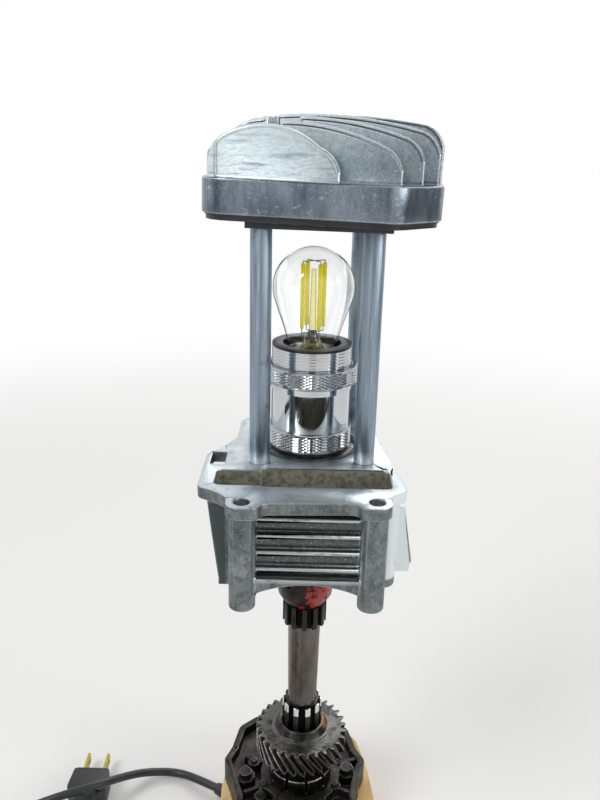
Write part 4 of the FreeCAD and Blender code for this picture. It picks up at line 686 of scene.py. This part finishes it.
def spun(name, profile, steps):
    """A shape spun from its outline, given as radius and level in mm."""
    outline = bpy.data.meshes.new(name)
    sides = [(k, k + 1) for k in range(len(profile) - 1)]
    outline.from_pydata([(r * MM, 0, z * MM) for r, z in profile], sides, [])
    piece = bpy.data.objects.new(name, outline)
    bpy.context.collection.objects.link(piece)
    bpy.context.view_layer.objects.active = piece
    piece.select_set(True)
    bpy.ops.object.mode_set(mode="EDIT")
    bpy.ops.mesh.select_all(action="SELECT")
    bpy.ops.mesh.spin(steps=steps, angle=2 * math.pi, center=(0, 0, 0), axis=(0, 0, 1))
    bpy.ops.mesh.select_all(action="SELECT")
    bpy.ops.mesh.remove_doubles(threshold=0.001 * MM)
    bpy.ops.mesh.normals_make_consistent(inside=False)
    bpy.ops.object.mode_set(mode="OBJECT")
    bpy.ops.object.shade_smooth()
    return piece


clear_glass, _, shader = finish("blown clear glass", "FDFEFE", 0.0)
shader.inputs["Transmission Weight"].default_value = 1.0
shader.inputs["IOR"].default_value = 1.5
stem_glass, _, shader = finish("lead glass stem", "EEE9A6", 0.02)
shader.inputs["Transmission Weight"].default_value = 1.0
shader.inputs["IOR"].default_value = 1.56

globe_outline = [(0, GLOBE_LEVEL + GLOBE_RADIUS)]
for slope in range(84, -20, -6):
    slope = math.radians(slope)
    globe_outline.append((GLOBE_RADIUS * math.cos(slope), GLOBE_LEVEL + GLOBE_RADIUS * math.sin(slope)))
globe = spun("blown_bulb", globe_outline + list(NECK), 64)
wall = globe.modifiers.new("glass wall", "SOLIDIFY")
wall.thickness = GLASS_WALL * MM
wall.offset = -1
bpy.ops.object.modifier_apply(modifier=wall.name)
smoother = globe.modifiers.new("smooth glass", "SUBSURF")
smoother.levels = smoother.render_levels = 1
bpy.ops.object.modifier_apply(modifier=smoother.name)
bpy.ops.object.shade_smooth()
coat(globe, clear_glass)
seat(globe, "bulb", "clear_glass", "bulb_glass")
coat(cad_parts["bulb_stem"], stem_glass)

phosphor, _, shader = patchy("phosphor in silicone", ("EFE000", "F7EC20", "E4D400"), 0.42, 0.0, 2.5, 0.35,
                             0.03)
# Painted light: the strips are given a faint glow of their own, though the bulb is off.
shader.inputs["Emission Color"].default_value = linear("E6D800")
shader.inputs["Emission Strength"].default_value = 0.25
shader.inputs["Subsurface Weight"].default_value = 0.2
shader.inputs["Subsurface Radius"].default_value = (0.001, 0.0008, 0.0002)
low, high = STRIP_LEVELS
strip_end = ((0, 0), (0.7, 0.12), (1.1, 0.45), (STRIP_RADIUS, 1.1))
strip_outline = [(r, low + rise) for r, rise in strip_end]
strip_outline += [(r, high - rise) for r, rise in reversed(strip_end)]
for k in range(STRIP_COUNT):
    strip = spun("filament_strip_%d" % (k + 1), strip_outline, 20)
    way = math.radians(STRIP_TURN + 360 / STRIP_COUNT * k)
    strip.data.transform(Matrix.Rotation(way, 4, "Z") @ Matrix.Translation((STRIP_CIRCLE * MM, 0, 0))
                         @ Matrix.Diagonal((0.72, 1, 1, 1)))
    coat(strip, phosphor)
    seat(strip, "bulb", "phosphor")
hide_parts("filaments")

nickel, _, _ = patchy("drawn nickel wire", ("8E8B84", "A19E96"), 0.3, 1.0, 5, 0.4, 0.01)
wires = worked("filament_wires", "filament_hangers", 0.02)
wires.data.transform(Matrix.Rotation(math.radians(STRIP_TURN - WIRE_TURN), 4, "Z"))
coat(wires, nickel)
seat(wires, "bulb", "nickel_wire", "filament_wires")
cap_plate, tree, shader = patchy("nickel plated cap", ("B4B3AE", "C4C3BD"), 0.22, 1.0, 8, 0.5, 0.01)
over(tree, shader, "Base Color", stained(tree, 3, 0.6, 0.78), linear("8A8678"))
cap = worked("bulb_cap", "plated_bulb_cap", 0.12, 25)
coat(cap, cap_plate)
seat(cap, "bulb", "cap_nickel", "bulb_cap")
coat(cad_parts["bulb_tip"], cap_plate)


# The cylinder head cover. Die cast aluminium, shot blasted and then rubbed on a wheel: the fins are pale
# and speckled, their edges polished, and the face of the first fin is painted lighter as painted light. The
# rim below them is darker, bluish, scored up and down, and streaked with painted highlights.
RIM_TOP = 385.5
FIN_FACING = Vector((0.174, 0.985, 0))
FIRST_FIN = -34
BEAD_RADIUS = 0.95
BEAD_SUNK = 0.35
FIN_TONES = ("8D9BA3", "A0AEB5", "97A5AC", "B0BCC1")
RIM_TONES = ("55626F", "98A3AD")

cover_alloy, tree, shader = patchy("blasted die cast aluminium", FIN_TONES, 0.4, 0.95, 6, 0.7, 0.1, 0.12)
speckle = stained(tree, 1.0, 0.54, 0.68)
over(tree, shader, "Base Color", speckle, linear("7B878E"))
place = add(tree, "ShaderNodeTexCoord").outputs["Object"]
depth = add(tree, "ShaderNodeVectorMath", {0: place, 1: FIN_FACING},
            operation="DOT_PRODUCT").outputs["Value"]
# The face of the first fin carries brush streaks; its pale streaks also paint it lighter than the fins
# behind it, as painted light falling on it.
front = add(tree, "ShaderNodeMapRange", {"Value": depth, "From Min": FIRST_FIN * MM,
                                         "From Max": (FIRST_FIN - 3) * MM}).outputs["Result"]
pale_streaks_and_painted_light = both(tree, front, stained(tree, 0.9, 0.1, 0.6, (0.3, 0.3, 1)))
over(tree, shader, "Base Color", pale_streaks_and_painted_light, linear("DCE8EC"))
dark_streaks = both(tree, front, stained(tree, 1.5, 0.54, 0.66, (0.1, 0.1, 1), (0.03, 0, 0)))
over(tree, shader, "Base Color", dark_streaks, linear("93A3AB"))
fin_tops = both(tree, past(tree, "Z", 394, 414), stained(tree, 1.6, 0.3, 0.6))
over(tree, shader, "Base Color", fin_tops, linear("C8D4D9"))
over(tree, shader, "Base Color", stained(tree, 0.8, 0.62, 0.7, shift=(0.02, 0, 0)), linear("EEF2F3"))
roof = both(tree, past(tree, "Z", 0.7, 0.9, "Normal"), past(tree, "Z", 391, 387))
over(tree, shader, "Base Color", roof, linear("8D999E"))
rim = past(tree, "Z", RIM_TOP + 0.9, RIM_TOP + 0.1)
tone = add(tree, "ShaderNodeTexNoise", {"Vector": placed(tree, (1, 1, 0.3)), "Scale": 55.0, "Detail": 9.0,
                                        "Roughness": 0.72})
rim_tones = add(tree, "ShaderNodeValToRGB", {"Fac": tone.outputs["Fac"]})
rim_tones.color_ramp.elements[0].position = NOISE_LOW
rim_tones.color_ramp.elements[1].position = NOISE_HIGH
rim_tones.color_ramp.elements[0].color = linear(RIM_TONES[0])
rim_tones.color_ramp.elements[1].color = linear(RIM_TONES[1])
before = shader.inputs["Base Color"].links[0].from_socket
joined = add(tree, "ShaderNodeMix", {0: rim, 6: before, 7: rim_tones.outputs["Color"]}, data_type="RGBA")
tree.links.new(joined.outputs[2], shader.inputs["Base Color"])
over(tree, shader, "Roughness", rim, 0.27)
# Painted highlights: pale streaks laid along the rim.
rim_painted_highlights = both(tree, rim, stained(tree, 1.6, 0.58, 0.7, (0.5, 0.5, 1)))
over(tree, shader, "Base Color", rim_painted_highlights, linear("A9B3BC"))
scores = both(tree, rim, stained(tree, 2.2, 0.66, 0.7, (1, 1, 0.2), (0.01, 0.02, 0)))
over(tree, shader, "Base Color", scores, linear("454E59"))
wear = rubbed(tree, 1.0, 0.22)
over(tree, shader, "Base Color", wear, linear("D5DCDE"))
over(tree, shader, "Roughness", wear, 0.2)

cover = worked("head_cover", "cast_head_cover", 0.9, steps=3, split=True)
bpy.ops.object.mode_set(mode="EDIT")
bpy.ops.mesh.select_all(action="DESELECT")
mesh = bmesh.from_edit_mesh(cover.data)
# A bead of rounded metal runs round the front face of each fin. It follows the edges of that face.
for edge in mesh.edges:
    panels = [face for face in edge.link_faces if face.normal.dot(FIN_FACING) < -0.999]
    edge.select_set(len(panels) == 1 and min(vertex.co.z for vertex in edge.verts) > (RIM_TOP + 1) * MM)
bpy.ops.mesh.duplicate()
bpy.ops.mesh.separate(type="SELECTED")
bpy.ops.object.mode_set(mode="OBJECT")
beads = next(thing for thing in bpy.context.selected_objects if thing != cover)
bpy.ops.object.select_all(action="DESELECT")
beads.select_set(True)
bpy.context.view_layer.objects.active = beads
bpy.ops.object.convert(target="CURVE")
beads.data.bevel_depth = BEAD_RADIUS * MM
beads.data.bevel_resolution = 2
beads.data.use_fill_caps = True
bpy.ops.object.convert(target="MESH")
beads.data.transform(Matrix.Translation(FIN_FACING * (BEAD_SUNK * MM)))
cover.select_set(True)
bpy.context.view_layer.objects.active = cover
bpy.ops.object.join()
bpy.ops.object.shade_smooth_by_angle(angle=math.radians(32))
coat(cover, cover_alloy)
seat(cover, "lamp", "cover_alloy", "head_cover")


# The plug, the inline switch and the tie. All are moulded in black: the plug in soft vinyl with a matt
# spark eroded skin, the switch in harder ABS with more gloss, and the tie is nylon.
plug_vinyl, _, _ = patchy("spark eroded black vinyl", ("0B0C0E", "121417"), 0.42, 0.0, 12, 0.5, 0.04)
switch_abs, _, _ = patchy("moulded black ABS", ("1A1B1D", "242528"), 0.34, 0.0, 20, 0.6, 0.012)
tie_nylon, _, _ = patchy("moulded black nylon", ("18191A", "222324"), 0.46, 0.0, 12, 0.5, 0.015)
for node, name, bevel, body, slot, material in (
        ("plug_body", "moulded_plug", 0.9, "lamp", "plug_black", plug_vinyl),
        ("switch_base", "switch_lower_half", 0.7, "lamp", "plug_black", switch_abs),
        ("switch_top", "switch_upper_half", 0.7, "lamp", "plug_black", switch_abs),
        ("switch_rocker", "rocker", 0.5, "switch_rocker", "plug_black", switch_abs),
        ("coil_tie", "nylon_tie", 0.15, "lamp", "plug_black", tie_nylon),
        ("cord_grommet", "strain_relief", 0.3, "lamp", "cord_sheath", vinyl)):
    piece = worked(node, name, bevel, split=True)
    coat(piece, material)
    seat(piece, body, slot, node)


# The studio. A pale floor that runs out of sight into a white ground, soft lamps above and to the sides,
# and a few dark cards that only the polished metal sees, so that chrome has something to show.
FLOOR_REACH = 3.0
FLOOR_FADE = (0.5, 1.3)
WORLD_LEVEL = 0.62

bpy.ops.mesh.primitive_circle_add(vertices=96, radius=FLOOR_REACH, fill_type="NGON", location=(0, 0, 0))
floor = bpy.context.object
floor.name = "floor"
floor.select_set(False)
ground, tree, shader = finish("pale painted floor", "E9E9E8", 0.7)
light = add(tree, "ShaderNodeEmission", {"Color": (1, 1, 1, 1), "Strength": 1.0})
place = add(tree, "ShaderNodeTexCoord").outputs["Object"]
reach = add(tree, "ShaderNodeVectorMath", {0: place}, operation="LENGTH").outputs["Value"]
fade = add(tree, "ShaderNodeMapRange", {"Value": reach, "From Min": FLOOR_FADE[0],
                                        "From Max": FLOOR_FADE[1]},
           interpolation_type="SMOOTHSTEP").outputs["Result"]
path = add(tree, "ShaderNodeLightPath").outputs
seen = add(tree, "ShaderNodeMath", {0: path["Is Camera Ray"], 1: path["Is Transmission Ray"]},
           operation="MAXIMUM").outputs["Value"]
faded = both(tree, fade, seen)
laid = add(tree, "ShaderNodeMixShader", {0: faded, 1: shader.outputs["BSDF"], 2: light.outputs["Emission"]})
tree.links.new(laid.outputs["Shader"], tree.nodes["Material Output"].inputs["Surface"])
coat(floor, ground)

world = bpy.data.worlds.new("studio")
bpy.context.scene.world = world
world.use_nodes = True
tree = world.node_tree
path = add(tree, "ShaderNodeLightPath").outputs
seen = add(tree, "ShaderNodeMath", {0: path["Is Camera Ray"], 1: path["Is Glossy Ray"]},
           operation="MAXIMUM").outputs["Value"]
seen = add(tree, "ShaderNodeMath", {0: seen, 1: path["Is Transmission Ray"]},
           operation="MAXIMUM").outputs["Value"]
level = add(tree, "ShaderNodeMapRange", {"Value": seen, "To Min": WORLD_LEVEL, "To Max": 1.0})
tree.links.new(level.outputs["Result"], tree.nodes["Background"].inputs["Strength"])
tree.nodes["Background"].inputs["Color"].default_value = (1, 1, 1, 1)

AIM = Vector((0, 0, 0.28))
CARD_AIM = Vector((0, 0, 0.3))
LAMPS = (
    ("key_lamp", (-0.9, -0.7, 1.3), 0.7, 9.0),
    ("side_lamp", (1.1, -0.5, 0.7), 0.6, 4.0),
    ("rear_lamp", (0.3, 1.1, 1.2), 0.8, 5.0),
)
for name, place, size, power in LAMPS:
    bpy.ops.object.light_add(type="AREA", location=place)
    lamp = bpy.context.object
    lamp.name = name
    lamp.data.shape = "DISK"
    lamp.data.size = size
    lamp.data.energy = power
    lamp.rotation_euler = (AIM - Vector(place)).to_track_quat("-Z", "Y").to_euler()
    lamp.select_set(False)

card_paint, _, _ = finish("dark card", "3A3C40", 0.9)
CARDS = (
    ("card_behind_view", (0.06, -1.5, 0.5), (0.5, 1.4)),
    ("card_left", (-1.2, -0.75, 0.4), (0.5, 1.5)),
    ("card_right", (1.3, -0.1, 0.4), (1.1, 1.4)),
    ("card_over_view", (0.0, -1.3, 1.5), (2.2, 0.5)),
)
for name, place, (across, tall) in CARDS:
    bpy.ops.mesh.primitive_plane_add(size=1, location=place)
    card = bpy.context.object
    card.name = name
    card.scale = (across, tall, 1)
    card.rotation_euler = (CARD_AIM - Vector(place)).to_track_quat("Z", "Y").to_euler()
    card.select_set(False)
    card.visible_camera = card.visible_diffuse = card.visible_shadow = card.visible_transmission = False
    coat(card, card_paint)

bpy.context.scene.view_settings.view_transform = "Standard"
